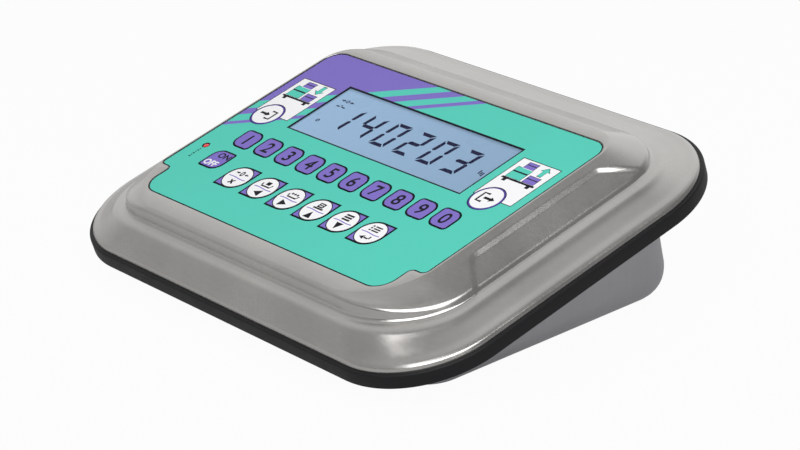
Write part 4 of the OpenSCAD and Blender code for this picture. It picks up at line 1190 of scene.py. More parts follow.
def case_shell(s):
    """The drawn sheet, from the middle of its inner face over the flange to that of its outer face."""
    c = s.case
    p = plan(s)
    h = heights(s)
    sheet = s.cover.sheet_t
    n = s.cover.corner_steps
    front_r = c.case_r / 1.5

    def drop(y):
        """Depth of the case below the flange, which the level bottom makes grow to the rear."""
        return c.case_depth + h.flange_under + y * math.tan(TILT)

    def plan_points(inset):
        """Points of the case's plan, each with the way that it faces."""
        x, front, rear = p.case_x - inset, p.case_y0 - inset, p.case_y1 - inset
        r0, r1 = front_r - inset, c.case_r - inset
        right = []
        for centre_y, radius, start in ((r0 - front, r0, -90), (rear - r1, r1, 0)):
            for j, (px, py) in enumerate(arc(x - radius, centre_y, radius, start, start + 90, n)):
                turn = math.radians(start + 90 * j / n)
                right.append((px, py, math.cos(turn), math.sin(turn)))
        return right + [(-px, py, -nx, ny) for px, py, nx, ny in reversed(right)]

    def wall_ring(inset, share_in, share_down, lift):
        loop = []
        for px, py, nx, ny in plan_points(inset):
            d = drop(py)
            x, y = px - nx * share_in * d, py - ny * share_in * d
            level = max(share_down - WALL_LOW_SHARE, 0) / (1 - WALL_LOW_SHARE)
            down = share_down * (d + (drop(y) - d) * level)
            loop.append((x, y, lift + h.flange_under - down))
        return loop

    def root_ring(turn):
        """The rounding between the flange and the wall."""
        return [(x, y, h.flange_under - WALL_TOP_SHARE * drop(y) * (1 - math.cos(turn)))
                for x, y, nx, ny in plan_points(c.root_r * (math.sin(turn) - 1))]

    def level_ring(inset, z):
        return [(px, py, z) for px, py, nx, ny in plan_points(inset)]

    def flange_ring(z):
        inset = c.flange_inset
        loop = round_rectangle(p.lip_x - inset, p.lip_y0 - inset, p.lip_y1 - inset,
                               s.cover.lip_front_r - inset, s.cover.lip_rear_r - inset, n)
        return [(x, y, z) for x, y in loop]

    turns = [(WALL_IN_SHARE * t / 3, WALL_TOP_SHARE + (WALL_LOW_SHARE - WALL_TOP_SHARE) * t / 3)
             for t in range(4)]
    for j in range(1, FILLET_STEPS + 1):
        turn = math.radians(90 * j / FILLET_STEPS)
        turns.append((WALL_IN_SHARE + FILLET_IN_SHARE * (1 - math.cos(turn)),
                      WALL_LOW_SHARE + (1 - WALL_LOW_SHARE) * math.sin(turn)))
    turns[-1] = (turns[-1][0], 1)
    roots = [math.radians(18 * j) for j in range(5)]
    inside_face = [wall_ring(sheet, a, b, sheet) for a, b in reversed(turns)]
    inner_root = [level_ring(sheet - c.root_r, h.flange_top)]
    outer_root = [root_ring(t) for t in roots]
    outside_face = [wall_ring(0, a, b, 0) for a, b in turns]
    flange = [flange_ring(h.flange_top), flange_ring(h.flange_under)]
    rings = inside_face + inner_root + flange + outer_root + outside_face
    return ringed(rings, True)


def rear_wall_place(s, x):
    """The place and turn of what is screwed into the rear wall, in the frame of the panel."""
    p = plan(s)
    h = heights(s)
    d = s.case.case_depth + h.flange_under + p.case_y1 * math.tan(TILT)
    top = Vector((p.case_y1, h.flange_under - WALL_TOP_SHARE * d))
    low = Vector((p.case_y1 - WALL_IN_SHARE * d, h.flange_under - WALL_LOW_SHARE * d))
    middle = (top + low) / 2
    lean = math.atan2(top.x - low.x, top.y - low.y)
    return (Matrix.Translation((x, middle.x, middle.y))
            @ Matrix.Rotation(-math.pi / 2 - lean, 4, "X"))


def gland_places(s):
    f = s.fittings
    start = f.gland_inset - plan(s).case_x
    return [rear_wall_place(s, start + i * f.gland_pitch) for i in range(f.gland_count)]


def vent_place(s):
    return rear_wall_place(s, plan(s).case_x - s.fittings.vent_inset)


def screw_points(s):
    """Places of the case screws, in the frame of the panel."""
    f = s.fittings
    p = plan(s)
    x = p.lip_x - f.bush_corner
    side = p.lip_x - f.bush_inset
    ends = (f.bush_inset - p.lip_y0, p.lip_y1 - f.bush_inset)
    sides = (f.bush_front_inset - s.keypad.film_front, s.keypad.film_rear - f.bush_rear_inset)
    return [(q * x, y) for q in (-1, 1) for y in ends] + [(q * side, y) for q in (-1, 1) for y in sides]


def foot_points(s):
    """Places of the feet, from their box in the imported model."""
    low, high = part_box("feet")
    r = s.case.foot_r
    return [(x, y) for x in (low.x + r, high.x - r) for y in (low.y + r, high.y - r)]


def cylinder(radius, low, high, steps=40):
    return ringed([[(x, y, z) for x, y in circle(0, 0, radius, steps)] for z in (high, low)], True)


# Half the length of a cut through the sheet, the gap round what goes through it, and the
# stem of the vent plug as a share of its radius
BORE_REACH = 0.004
BORE_GAP = 0.00025
VENT_STEM = 0.6


def bore_case(s, case, place):
    """Cuts the holes for the glands, the vent, the screws, the feet and the base threads."""
    f = s.fittings
    under = heights(s).flange_under
    level = s.case.foot_h
    half = f.mount_pitch / 2
    cuts = [(place @ spot, f.gland_thread_r + BORE_GAP) for spot in gland_places(s)]
    cuts.append((place @ vent_place(s), f.vent_r * VENT_STEM + BORE_GAP))
    cuts += [(place @ Matrix.Translation((x, y, under)), f.screw_r + BORE_GAP)
             for x, y in screw_points(s)]
    cuts += [(Matrix.Translation((x, y, level)), f.screw_r + BORE_GAP) for x, y in foot_points(s)]
    cuts += [(Matrix.Translation((x, y, level)), f.mount_spigot_r + BORE_GAP / 5)
             for x in (-half, half) for y in (-half, half)]
    shapes = []
    for spot, radius in cuts:
        points, sides = cylinder(radius, -BORE_REACH, BORE_REACH)
        shapes.append(([spot @ Vector(v) for v in points], sides))
    cutter = new_piece("bores", *joined_shapes(*shapes), [])
    trim = case.modifiers.new("bores", "BOOLEAN")
    trim.operation = "DIFFERENCE"
    trim.solver = "EXACT"
    trim.object = cutter
    applied(case)
    bpy.data.objects.remove(cutter)


# Radius of the rubber's upper and lower edge, as shares of its thickness
SEAL_ROUNDS = (0.42, 0.3)


class OBJECT_OT_indicator_seal(Operator):
    """Sweeps the rubber seal round the lip"""
    bl_idname = "object.indicator_seal"
    bl_label = "Seal"

    def execute(self, context):
        s = settings(context)
        c = s.case
        p = plan(s)
        h = heights(s)
        path = [(x, y, 0.0) for x, y in round_rectangle(p.lip_x, p.lip_y0, p.lip_y1,
                                                        s.cover.lip_front_r, s.cover.lip_rear_r, 36)]
        top_r = SEAL_ROUNDS[0] * c.seal_t
        low_r = SEAL_ROUNDS[1] * c.seal_t
        section = [(0.0, h.skirt), (0.0, h.seal_top)]
        section += arc(c.seal_t - top_r, h.seal_top - top_r, top_r, 90, 0, 6)
        section += arc(c.seal_t - low_r, h.flange_top + low_r, low_r, 0, -90, 5)
        section += [(-c.seal_in, h.flange_top), (-c.seal_in, h.skirt)]
        seal = swept("rubber_seal", path, section, rubber_finish(s))
        seal.data.transform(panel_place(s))
        settled(seal, BODY, "rubber", "seal_ring")
        return {"FINISHED"}


def rubber_finish(s):
    return skinned("black_rubber", s.colours.rubber, 0.5, scale=120.0, skin=3200.0, change=0.25,
                   spread=0.2, bump=0.35, depth=0.00004, Specular_IOR_Level=0.3)


def wire(name, points):
    """An object that is only a closed line of points."""
    count = len(points)
    mesh = bpy.data.meshes.new(name)
    mesh.from_pydata(points, [(i, (i + 1) % count) for i in range(count)], [])
    return new_object(name, mesh)


def new_tree(name, **inputs):
    """A geometry tree with a geometry output and named inputs, each given with its kind."""
    tree = bpy.data.node_groups.new(name, "GeometryNodeTree")
    tree.interface.new_socket("Geometry", in_out="OUTPUT", socket_type="NodeSocketGeometry")
    for label, kind in inputs.items():
        tree.interface.new_socket(label, in_out="INPUT", socket_type="NodeSocket" + kind)
    return tree, tree.nodes.new("NodeGroupInput").outputs


def shape_of(tree, thing):
    """The geometry of an object that a tree is given."""
    return new_node(tree, "GeometryNodeObjectInfo", Object=thing).outputs["Geometry"]


def finished_tree(tree, shape, material):
    """Ends a geometry tree in Realize Instances and Set Material."""
    real = new_node(tree, "GeometryNodeRealizeInstances", Geometry=shape).outputs["Geometry"]
    made = new_node(tree, "GeometryNodeSetMaterial", Geometry=real, Material=material)
    new_node(tree, "NodeGroupOutput", Geometry=made.outputs["Geometry"])
    return tree


def grown(name, tree, **values):
    """Runs a geometry tree with its named inputs and returns the result as a plain object."""
    piece = new_object(name, bpy.data.meshes.new(name))
    modifier = piece.modifiers.new(name, "NODES")
    modifier.node_group = tree
    for item in tree.interface.items_tree:
        if item.in_out == "INPUT":
            modifier[item.identifier] = values[item.name]
    applied(piece)
    return piece


def sweep_tree(name):
    """Sweeps a section along a level closed line."""
    tree, sent = new_tree(name, Path="Object", Section="Object", Material="Material")
    path, section = [new_node(tree, "GeometryNodeMeshToCurve", Mesh=shape_of(tree, sent[thing]))
                     for thing in ("Path", "Section")]
    level = new_node(tree, "GeometryNodeSetCurveNormal", {"mode": "Z_UP"},
                     Curve=path.outputs["Curve"])
    sweep = new_node(tree, "GeometryNodeCurveToMesh", Curve=level.outputs["Curve"],
                     Profile_Curve=section.outputs["Curve"])
    return finished_tree(tree, sweep.outputs["Mesh"], sent["Material"])


def swept(name, path, section, material):
    """A section of (outward, up) points swept along a level closed path."""
    line = wire(name + "_path", path)
    profile = wire(name + "_section", [(out, -up, 0.0) for out, up in section])
    tree = kept(bpy.data.node_groups, "Swept section", sweep_tree)
    piece = grown(name, tree, Path=line, Section=profile, Material=material)
    for helper in (line, profile):
        bpy.data.objects.remove(helper)
    outward_faces(piece)
    smoothed(piece.data, 40)
    return piece


def outward_faces(piece):
    shape = bmesh.new()
    shape.from_mesh(piece.data)
    bmesh.ops.remove_doubles(shape, verts=shape.verts, dist=1e-7)
    bmesh.ops.recalc_face_normals(shape, faces=shape.faces)
    shape.to_mesh(piece.data)
    shape.free()


class OBJECT_OT_indicator_film(Operator):
    """Prints the keypad film: teal and violet fields, stripes, key windows and two picture boxes"""
    bl_idname = "object.indicator_film"
    bl_label = "Film"

    def execute(self, context):
        s = settings(context)
        k = s.keypad
        h = heights(s)
        ink = inks(s)
        rim = k.key_rim / 2
        holes = [key_outline(k, name, k.key_gap + rim) for name in ALL_KEYS]
        holes.append(window_outline(s.display, rim))
        holes.append(circle(k.lamp_x, -k.lamp_drop, k.lamp_r + k.lamp_gap + rim, 32))
        # The dark band between tidy and the film's edge is a painted shadow of the gap round the film
        tidy = film_outline(k, -rim - k.gap_shadow_line)
        violet = [clipped(stripe_field(k, *pair), tidy) for pair in ((None, 0), (1, 2), (3, 4))]
        boxes, edges, teal_marks, violet_marks, dark_marks = picture_boxes()
        line = s.display.border
        dark_marks += [window_outline(s.display, line), window_outline(s.display, rim / 2)]
        dark_marks += ring(k.lamp_x, -k.lamp_drop, k.lamp_r + k.lamp_gap + LAMP_EDGE, LAMP_LINE)
        dark_marks += lamp_marks(k)
        outline = film_outline(k, -rim)
        film = plate("keypad_film", outline, holes,
                     [[tidy], violet, edges, boxes, teal_marks, violet_marks, dark_marks],
                     [ink.ink, ink.teal, ink.violet, ink.ink, ink.white, ink.teal, ink.violet, ink.ink],
                     [(0.0, h.film_top), (rim, h.film_top - rim), (rim, h.film_under)], panel_place(s))
        settled(film, BODY, "film", "overlay_film")
        return {"FINISHED"}


def clipped(shape, border):
    """The part of a convex shape's plan inside a border, by trimming the border to the shape."""
    kept_points = list(border)
    count = len(shape)
    area = sum(shape[i][0] * shape[(i + 1) % count][1] - shape[(i + 1) % count][0] * shape[i][1]
               for i in range(count))
    edges = [(shape[i], shape[(i + 1) % count]) for i in range(count)]
    if area < 0:
        edges = [(b, a) for a, b in edges]
    for (ax, ay), (bx, by) in edges:
        def side(point):
            return (bx - ax) * (point[1] - ay) - (by - ay) * (point[0] - ax)
        made = []
        for here, ahead in zip(kept_points, kept_points[1:] + kept_points[:1]):
            a, b = side(here), side(ahead)
            if a >= 0:
                made.append(here)
            if a * b < 0:
                t = a / (a - b)
                made.append((here[0] + (ahead[0] - here[0]) * t, here[1] + (ahead[1] - here[1]) * t))
        kept_points = made
    return kept_points


# The dark ring round the lamp: its reach past the hole, and its width
LAMP_EDGE = 0.0005
LAMP_LINE = 0.0004
# The ticks in front of the lamp: the first one's place, their pitch, widths and thickness
TICK_DROP = 0.0036
TICK_PITCH = 0.0014
TICK_WIDTHS = (0.0010, 0.0016)
TICK_LINE = 0.0007


def lamp_marks(k):
    """Short level ticks in a column in front of the lamp."""
    return [bar(k.lamp_x, -k.lamp_drop - TICK_DROP - TICK_PITCH * i, TICK_WIDTHS[i % 2], TICK_LINE)
            for i in range(6)]


def upright_arrow(spot, way, length, width):
    """An arrow that points up where way is 1 and down where it is -1."""
    return [(spot[0] - way * y, spot[1] + way * x) for x, y in shafted_arrow(length, width)]


# A picture box: its reach across and along the panel, and its dark line
BOX_X = (0.0717, 0.0981)
BOX_Y = (0.0213, 0.0541)
BOX_LINE = 0.0005
# The platform in it: rise above the box's front, size, and the places and size of its legs
PLATFORM_RISE = 0.0165
PLATFORM = (0.0220, 0.0014)
LEG_REACH = 0.0080
LEG_DROP = 0.0016
LEG = (0.0024, 0.0018)
# The parcels on it: middle, width, height and ink. A tape crosses each
PARCELS = ((-0.0048, 0.0052, 0.0098, 0.0086, "teal"), (0.0056, 0.0036, 0.0074, 0.0054, "violet"),
           (-0.0036, 0.0121, 0.0066, 0.0046, "violet"))
PARCEL_LINE = 0.0006
TAPE_RISE = 0.1
TAPE_WIDTH = 0.12
# The arrow beside them: middle, length and width, and its dark line
POINTER_SPOT = (0.0062, 0.0112)
POINTER = (0.0070, 0.0058)
POINTER_LINE = 0.0008


def picture_boxes():
    """Two white boxes beside the window, each with parcels on a platform and an arrow."""
    boxes = []
    edges = []
    dark = []
    inked = {"teal": [], "violet": []}
    front, rear = BOX_Y
    for side in (-1, 1):
        x0, x1 = sorted(side * x for x in BOX_X)
        edges.append(rectangle(x0, front, x1, rear))
        boxes.append(rectangle(x0 + BOX_LINE, front + BOX_LINE, x1 - BOX_LINE, rear - BOX_LINE))
        middle = (x0 + x1) / 2
        base = front + PLATFORM_RISE
        dark.append(bar(middle, base, *PLATFORM))
        dark += [bar(middle + leg, base - LEG_DROP, *LEG) for leg in (-LEG_REACH, LEG_REACH)]
        for x, y, w, t, ink in PARCELS:
            parcel = bar(middle + x, base + y, w, t)
            inked[ink].append(parcel)
            dark += [bar(middle + x, base + y, w + PARCEL_LINE, t + PARCEL_LINE), parcel,
                     bar(middle + x, base + y + t * TAPE_RISE, w, t * TAPE_WIDTH)]
        spot = (middle + POINTER_SPOT[0], base + POINTER_SPOT[1])
        pointer = upright_arrow(spot, side, *POINTER)
        inked["teal"].append(pointer)
        dark += [upright_arrow(spot, side, *(size + POINTER_LINE for size in POINTER)), pointer]
    return boxes, edges, inked["teal"], inked["violet"], dark


# Height and boldness of a printed digit, height of a printed word, and the words' places
DIGIT_PRINT = 0.0081
DIGIT_BOLD = 0.017
WORD_PRINT = 0.0042
ON_SPOT = (0.0016, 0.0034)
OFF_SPOT = (-0.0009, -0.0035)


class OBJECT_OT_indicator_number_keys(Operator):
    """Makes the ten number keys"""
    bl_idname = "object.indicator_number_keys"
    bl_label = "Number Keys"

    def execute(self, context):
        s = settings(context)
        ink = inks(s)
        k = s.keypad
        for name in NUMBER_KEYS:
            digit = words_outline(name, DIGIT_PRINT, *key_middle(k, name), DIGIT_BOLD)
            make_key(s, name, "violet_key", [[key_outline(k, name, -k.outline)], digit],
                     [ink.ink, ink.violet, ink.ink])
        return {"FINISHED"}


def make_key(s, name, slot, areas, materials):
    """One key: a cap with a rounded rim over a foot."""
    k = s.keypad
    h = heights(s)
    rim = k.key_rim
    foot_top = h.key_under + k.key_foot_t
    levels = [(0.0, h.key_top), (rim * 0.6, h.key_top - rim * 0.2), (rim, h.key_top - rim * 0.7),
              (rim, foot_top), (rim + k.key_foot_w, foot_top), (rim + k.key_foot_w, h.key_under)]
    key = plate("cap_" + name, key_outline(k, name, -rim), [], areas, materials, levels,
                panel_place(s))
    settled(key, "key_" + name, slot, "key_" + name)


class OBJECT_OT_indicator_power_key(Operator):
    """Makes the power key"""
    bl_idname = "object.indicator_power_key"
    bl_label = "Power Key"

    def execute(self, context):
        s = settings(context)
        ink = inks(s)
        k = s.keypad
        x, y = key_middle(k, "power")
        words = [words_outline(text, WORD_PRINT, x + spot[0], y + spot[1], WORD_BOLD)
                 for text, spot in (("ON", ON_SPOT), ("OFF", OFF_SPOT))]
        make_key(s, "power", "violet_key", [[key_outline(k, "power", -k.outline)], *words],
                 [ink.ink, ink.violet, ink.ink, ink.white])
        return {"FINISHED"}


# Sizes of the symbols above and below the wavy line, of the arrows and of a round key's symbol
UPPER_UNIT = 0.0025
LOWER_UNIT = 0.0024
ARROW_UNIT = 0.0050
WAY_UNIT = 0.0032
# Their places and the wavy line's place and length, as shares of the face's radius
UPPER_RISE = 0.38
LOWER_DROP = 0.44
ARROW_DROP = 0.46
WAVE_DROP = 0.04
WAVE_WIDTH = 1.5
# Thickness and swing of the wavy line
WAVE_LINE = 0.0006
WAVE_SWING = 0.00025
# How far a function key's dark ring stands inside its rim, and its white face inside its outline
FACE_RING = 0.00005
FACE_INSET = 0.0001


class OBJECT_OT_indicator_function_keys(Operator):
    """Makes the six function keys, with a symbol above a wavy line and another below it"""
    bl_idname = "object.indicator_function_keys"
    bl_label = "Function Keys"

    def execute(self, context):
        s = settings(context)
        ink = inks(s)
        k = s.keypad
        r = k.function_size / 2
        for name in FUNCTION_KEYS:
            x, y = key_middle(k, name)
            upper, lower = FUNCTION_SYMBOLS[name]
            marks = symbol_at(upper(), x, y + UPPER_RISE * r, UPPER_UNIT)
            if callable(lower):
                marks += symbol_at(lower(), x, y - LOWER_DROP * r, LOWER_UNIT)
            else:
                marks.append(arrow(x, y - ARROW_DROP * r, ARROW_UNIT, lower))
            areas = [[key_outline(k, name, -k.outline)], [circle(x, y, r - k.key_rim - FACE_RING, 72)],
                     [circle(x, y, r - k.outline - FACE_INSET, 72)],
                     [wave(x, y - WAVE_DROP * r, WAVE_WIDTH * r, WAVE_LINE, WAVE_SWING)], marks]
            make_key(s, name, "white_key", areas,
                     [ink.ink, ink.violet, ink.ink, ink.white, ink.violet, ink.ink])
        return {"FINISHED"}


class OBJECT_OT_indicator_round_keys(Operator):
    """Makes the two round keys"""
    bl_idname = "object.indicator_round_keys"
    bl_label = "Round Keys"

    def execute(self, context):
        s = settings(context)
        ink = inks(s)
        k = s.keypad
        for name in ROUND_KEYS:
            x, y = key_middle(k, name)
            areas = [[circle(x, y, k.round_r - k.ring_line, 64)],
                     symbol_at(way_symbol(name), x, y, WAY_UNIT)]
            make_key(s, name, "white_key", areas, [ink.deep_violet, ink.white, ink.ink])
        return {"FINISHED"}


# The number that the display shows, and the eased edge of its glass
SHOWN_NUMBER = "140203"
GLASS_RIM = 0.0002


class OBJECT_OT_indicator_display(Operator):
    """Makes the lit display glass with its digits, and the clear pane over it"""
    bl_idname = "object.indicator_display"
    bl_label = "Display"

    def execute(self, context):
        s = settings(context)
        d = s.display
        h = heights(s)
        place = panel_place(s)
        top = h.film_under - d.glass_gap
        strokes = [moved(shape, d.digit_x + i * d.digit_pitch, d.digit_y)
                   for i, number in enumerate(SHOWN_NUMBER) for shape in seven_segments(d, number)]
        levels = [(0.0, top), (GLASS_RIM, top - GLASS_RIM), (GLASS_RIM, top - d.glass_t)]
        glass = plate("display_glass", window_outline(d, d.glass_margin - GLASS_RIM), [],
                      [strokes + display_marks()], [display_finish(s), digit_finish(s)], levels, None)
        panel_map(glass, d)
        glass.data.transform(place)
        settled(glass, BODY, "display", "lcd_glass")
        pane = plate("window_pane", window_outline(d, -d.pane_gap), [], [], [pane_finish()],
                     [(0.0, h.film_top), (0.0, h.film_under)], place)
        settled(pane, BODY, "window", "display_window")
        return {"FINISHED"}


# Marks round the digits: bars (middle, width, height), arrows (middle, size, quarter turns)
# and rings (middle, radius, width)
DISPLAY_BARS = ((-0.0602, 0.0490, 0.0013, 0.0007), (-0.0522, 0.0490, 0.0013, 0.0007),
                (-0.0582, 0.0440, 0.0024, 0.0009), (-0.0540, 0.0440, 0.0026, 0.0009),
                (0.0604, 0.0357, 0.0009, 0.0030), (0.0618, 0.0350, 0.0009, 0.0022),
                (0.0632, 0.0346, 0.0009, 0.0030))
DISPLAY_ARROWS = ((-0.0586, 0.0490, 0.0019, 0), (-0.0538, 0.0490, 0.0019, 2),
                  (-0.0562, 0.0447, 0.0014, 3))
DISPLAY_RINGS = ((-0.0575, 0.0300, 0.0012, 0.0006), (-0.0562, 0.0490, 0.0012, 0.0006))


def display_marks():
    """Small marks round the digits."""
    marks = [bar(*mark) for mark in DISPLAY_BARS] + [arrow(*mark) for mark in DISPLAY_ARROWS]
    return marks + [loop for mark in DISPLAY_RINGS for loop in ring(*mark)]


def panel_map(piece, d):
    """A map over the window, 0 to 1 from its left to its right and from its front to its rear."""
    mesh = piece.data
    layer = mesh.uv_layers.new(name="window")
    spots = np.zeros(len(mesh.vertices) * 3)
    mesh.vertices.foreach_get("co", spots)
    spots = spots.reshape(-1, 3)
    corners = np.zeros(len(mesh.loops), int)
    mesh.loops.foreach_get("vertex_index", corners)
    across = spots[corners, 0] / d.window_w + 0.5
    rise = (spots[corners, 1] - d.window_rise) / d.window_h
    layer.data.foreach_set("uv", np.stack([across, rise], axis=1).ravel())


# The painted shade that the frame casts on the display: its level at the frame, and where it ends on the
# map near the left and near the rear, and the level of the light at the left and at the right
PAINTED_FRAME_SHADE = 0.7
PAINTED_SHADE_LEFT = 0.012
PAINTED_SHADE_REAR = 0.93
LIT_LEVELS = (1.12, 0.88)


def display_finish(s):
    """The lit display, with a painted shade of its frame along the rear and the left."""
    def build(name):
        finish = Finish(name, MOTTLE, Tone=(*s.colours.display, 1.0), Scale=30.0, Skin_Scale=5200.0,
                        Change=0.05, Roughness=0.28, Spread=0.05)
        tree = finish.tree
        where = new_node(tree, "ShaderNodeUVMap", {"uv_map": "window"}).outputs["UV"]
        parts = new_node(tree, "ShaderNodeSeparateXYZ", Vector=where).outputs
        # Painted shade: the display is darker in a narrow band at its left edge and at its rear edge
        left = ranged(tree, parts["X"], (0.0, PAINTED_SHADE_LEFT), (PAINTED_FRAME_SHADE, 1.0), True)
        rear = ranged(tree, parts["Y"], (1.0, PAINTED_SHADE_REAR), (PAINTED_FRAME_SHADE, 1.0), True)
        broad = ranged(tree, parts["X"], (0.0, 1.0), LIT_LEVELS)
        level = math_node(tree, "MULTIPLY", math_node(tree, "MULTIPLY", left, rear), broad)
        tone = tinted(tree, finish.skin["Color"], level)
        return finish.feed(0.05, 0.00001, tone, True, Emission_Strength=0.06, Specular_IOR_Level=0.12)
    return kept(bpy.data.materials, "display_lit", build)


def digit_finish(s):
    return skinned("display_digit", s.colours.digit, 0.3, scale=80.0, skin=5200.0, change=0.1,
                   Specular_IOR_Level=0.05)


def pane_finish():
    """A clear pane, mostly see-through, with a faint skin."""
    return skinned("clear_pane", (0.05, 0.055, 0.06), 0.12, scale=20.0, change=0.02, spread=0.04,
                   bump=0.03, depth=0.00001, Alpha=0.05)


# Height of the lamp's domed top
LAMP_DOME = 0.0004


class OBJECT_OT_indicator_lamp(Operator):
    """Makes the red lamp, with a domed top"""
    bl_idname = "object.indicator_lamp"
    bl_label = "Lamp"

    def execute(self, context):
        s = settings(context)
        k = s.keypad
        h = heights(s)
        dome_z = h.key_top - LAMP_DOME
        profile = [(k.lamp_r, h.circuit_top), (k.lamp_r, dome_z)]
        profile += [(k.lamp_r * math.cos(t), dome_z + LAMP_DOME * math.sin(t))
                    for t in (math.radians(15 * i) for i in range(1, 6))]
        shape = turned(profile + [(0.0, h.key_top)], 40)
        place = panel_place(s) @ Matrix.Translation((k.lamp_x, -k.lamp_drop, 0.0))
        lens = new_piece("red_lens", *shape, [lamp_finish(s)], None, place, sharp=50)
        settled(lens, BODY, "lamp", "led_lens")
        return {"FINISHED"}


def lamp_finish(s):
    return skinned("red_lamp", s.colours.lamp, 0.15, scale=300.0, change=0.2, spread=0.1, bump=0.05,
                   depth=0.00001, glow=True, Emission_Strength=0.25, Coat_Weight=0.6,
                   Coat_Roughness=0.08)


def hoop(radius, z, sides):
    """Points round a level ring."""
    turns = [2 * math.pi * j / sides for j in range(sides)]
    return [(radius * math.cos(t), radius * math.sin(t), z) for t in turns]


def turned(profile, sides):
    """A closed round body from (radius, height) points that run from the bottom to the top."""
    verts = []
    rings = []
    for radius, z in profile:
        start = len(verts)
        verts += hoop(radius, z, sides if radius else 1)
        rings.append(list(range(start, len(verts))))
    faces = []
    for low, high in zip(rings, rings[1:]):
        for j in range(sides):
            ahead = (j + 1) % sides
            if len(low) == 1:
                faces.append((low[0], high[ahead], high[j]))
            elif len(high) == 1:
                faces.append((low[j], low[ahead], high[0]))
            else:
                faces.append((low[j], low[ahead], high[ahead], high[j]))
    if len(rings[0]) > 1:
        faces.append(tuple(reversed(rings[0])))
    if len(rings[-1]) > 1:
        faces.append(tuple(rings[-1]))
    return verts, faces


def copies_tree(name):
    """Puts a copy of a part at each point, turned and finished alike."""
    tree, sent = new_tree(name, Points="Object", Part="Object", Turn="Vector", Material="Material")
    turn = new_node(tree, "FunctionNodeEulerToRotation", Euler=sent["Turn"])
    copies = new_node(tree, "GeometryNodeInstanceOnPoints", Points=shape_of(tree, sent["Points"]),
                      Instance=shape_of(tree, sent["Part"]), Rotation=turn.outputs["Rotation"])
    return finished_tree(tree, copies.outputs["Instances"], sent["Material"])


def repeated(name, shape, points, material, lean=0.0, place=None):
    """Copies of one shape, given as (verts, faces), at points in one frame."""
    part = new_piece(name + "_part", *shape, [])
    cloud = new_piece(name + "_points", points, [], [])
    tree = kept(bpy.data.node_groups, "Copies at points", copies_tree)
    piece = grown(name, tree, Points=cloud, Part=part, Turn=(lean, 0.0, 0.0), Material=material)
    for helper in (part, cloud):
        bpy.data.objects.remove(helper)
    if place is not None:
        piece.data.transform(place)
    smoothed(piece.data, 35)
    return piece


def joined_shapes(*shapes):
    verts = []
    faces = []
    for points, sides in shapes:
        start = len(verts)
        verts += list(points)
        faces += [tuple(start + v for v in side) for side in sides]
    return verts, faces


def socket_screw(head_r, head_h, shank_r, shank_l):
    """A low round head with a six-sided socket below z = 0, and its shank above."""
    rim = head_h * 0.28
    socket_r = head_r * 0.5
    steps = 36
    outline = [(shank_r, shank_l - shank_r * 0.2), (shank_r, 0.0), (head_r, 0.0)]
    outline += [(head_r - rim + rim * math.cos(t), rim - head_h - rim * math.sin(t))
                for t in (math.radians(18 * i) for i in range(6))]
    verts, faces = turned([(shank_r * 0.8, shank_l)] + outline, steps)
    faces = turned_over(faces[:-1])
    last_ring = len(verts) - steps
    start = len(verts)
    corners = [(socket_r * math.cos(math.radians(60 * j)), socket_r * math.sin(math.radians(60 * j)))
               for j in range(6)]
    verts += [(x, y, -head_h) for x, y in corners] + [(x, y, -head_h / 2) for x, y in corners]
    per_side = steps // 6
    for j in range(6):
        ahead = (j + 1) % 6
        for q in range(per_side):
            a = last_ring + (j * per_side + q) % steps
            b = last_ring + (j * per_side + q + 1) % steps
            corner = start + j if q < per_side // 2 else start + ahead
            faces.append((a, corner, b))
            if q == per_side // 2 - 1:
                faces.append((start + j, start + ahead, b))
        faces.append((start + j, start + 6 + j, start + 6 + ahead, start + ahead))
    faces.append(tuple(start + 6 + j for j in range(6)))
    return verts, faces


# Length of a case screw under its head
FLANGE_SHANK = 0.0061


class OBJECT_OT_indicator_screws(Operator):
    """Makes the case screws under the flange and the screws of the feet"""
    bl_idname = "object.indicator_screws"
    bl_label = "Screws"

    def execute(self, context):
        s = settings(context)
        f = s.fittings
        bright = metal("screw_steel", (0.62, 0.62, 0.61), 0.28, scale=2600.0, along=(1.0, 1.0, 1.0))
        low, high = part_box("foot_screws")
        seat = s.case.foot_h / 2
        rows = (("flange_screws", "case_screws", screw_points(s), heights(s).flange_under,
                 f.screw_head_h, FLANGE_SHANK, panel_place(s)),
                ("feet_screws", "foot_screws", foot_points(s), seat, seat - low.z, high.z - seat, None))
        for name, node, spots, z, head_h, shank, place in rows:
            shape = socket_screw(f.screw_head_r, head_h, f.screw_r, shank)
            screws = repeated(name, shape, [(x, y, z) for x, y in spots], bright, place=place)
            outward_faces(screws)
            settled(screws, BODY, "bright_steel", node)
        return {"FINISHED"}


# Gap between a foot and its screw, eased edge of a foot, and its draft near the top and there
FOOT_GAP = 0.0002
FOOT_EDGE = 0.0005
FOOT_DRAFT = (0.0004, 0.0006)


class OBJECT_OT_indicator_feet(Operator):
    """Makes the rubber feet, each with a recess for its screw"""
    bl_idname = "object.indicator_feet"
    bl_label = "Feet"

    def execute(self, context):
        s = settings(context)
        c = s.case
        bore = s.fittings.screw_r + FOOT_GAP
        recess = s.fittings.screw_head_r + FOOT_GAP
        ease = FOOT_EDGE * 0.3
        profile = [(bore, c.foot_h / 2), (recess, c.foot_h / 2), (recess, 0.0),
                   (c.foot_r - FOOT_EDGE, 0.0), (c.foot_r - ease, ease), (c.foot_r, FOOT_EDGE),
                   (c.foot_r - FOOT_DRAFT[0], c.foot_h * 0.8), (c.foot_r - FOOT_DRAFT[1], c.foot_h),
                   (bore, c.foot_h)]
        feet = repeated("rubber_feet", tube(profile, 48), [(x, y, 0.0) for x, y in foot_points(s)],
                        rubber_finish(s))
        settled(feet, BODY, "rubber", "feet")
        return {"FINISHED"}


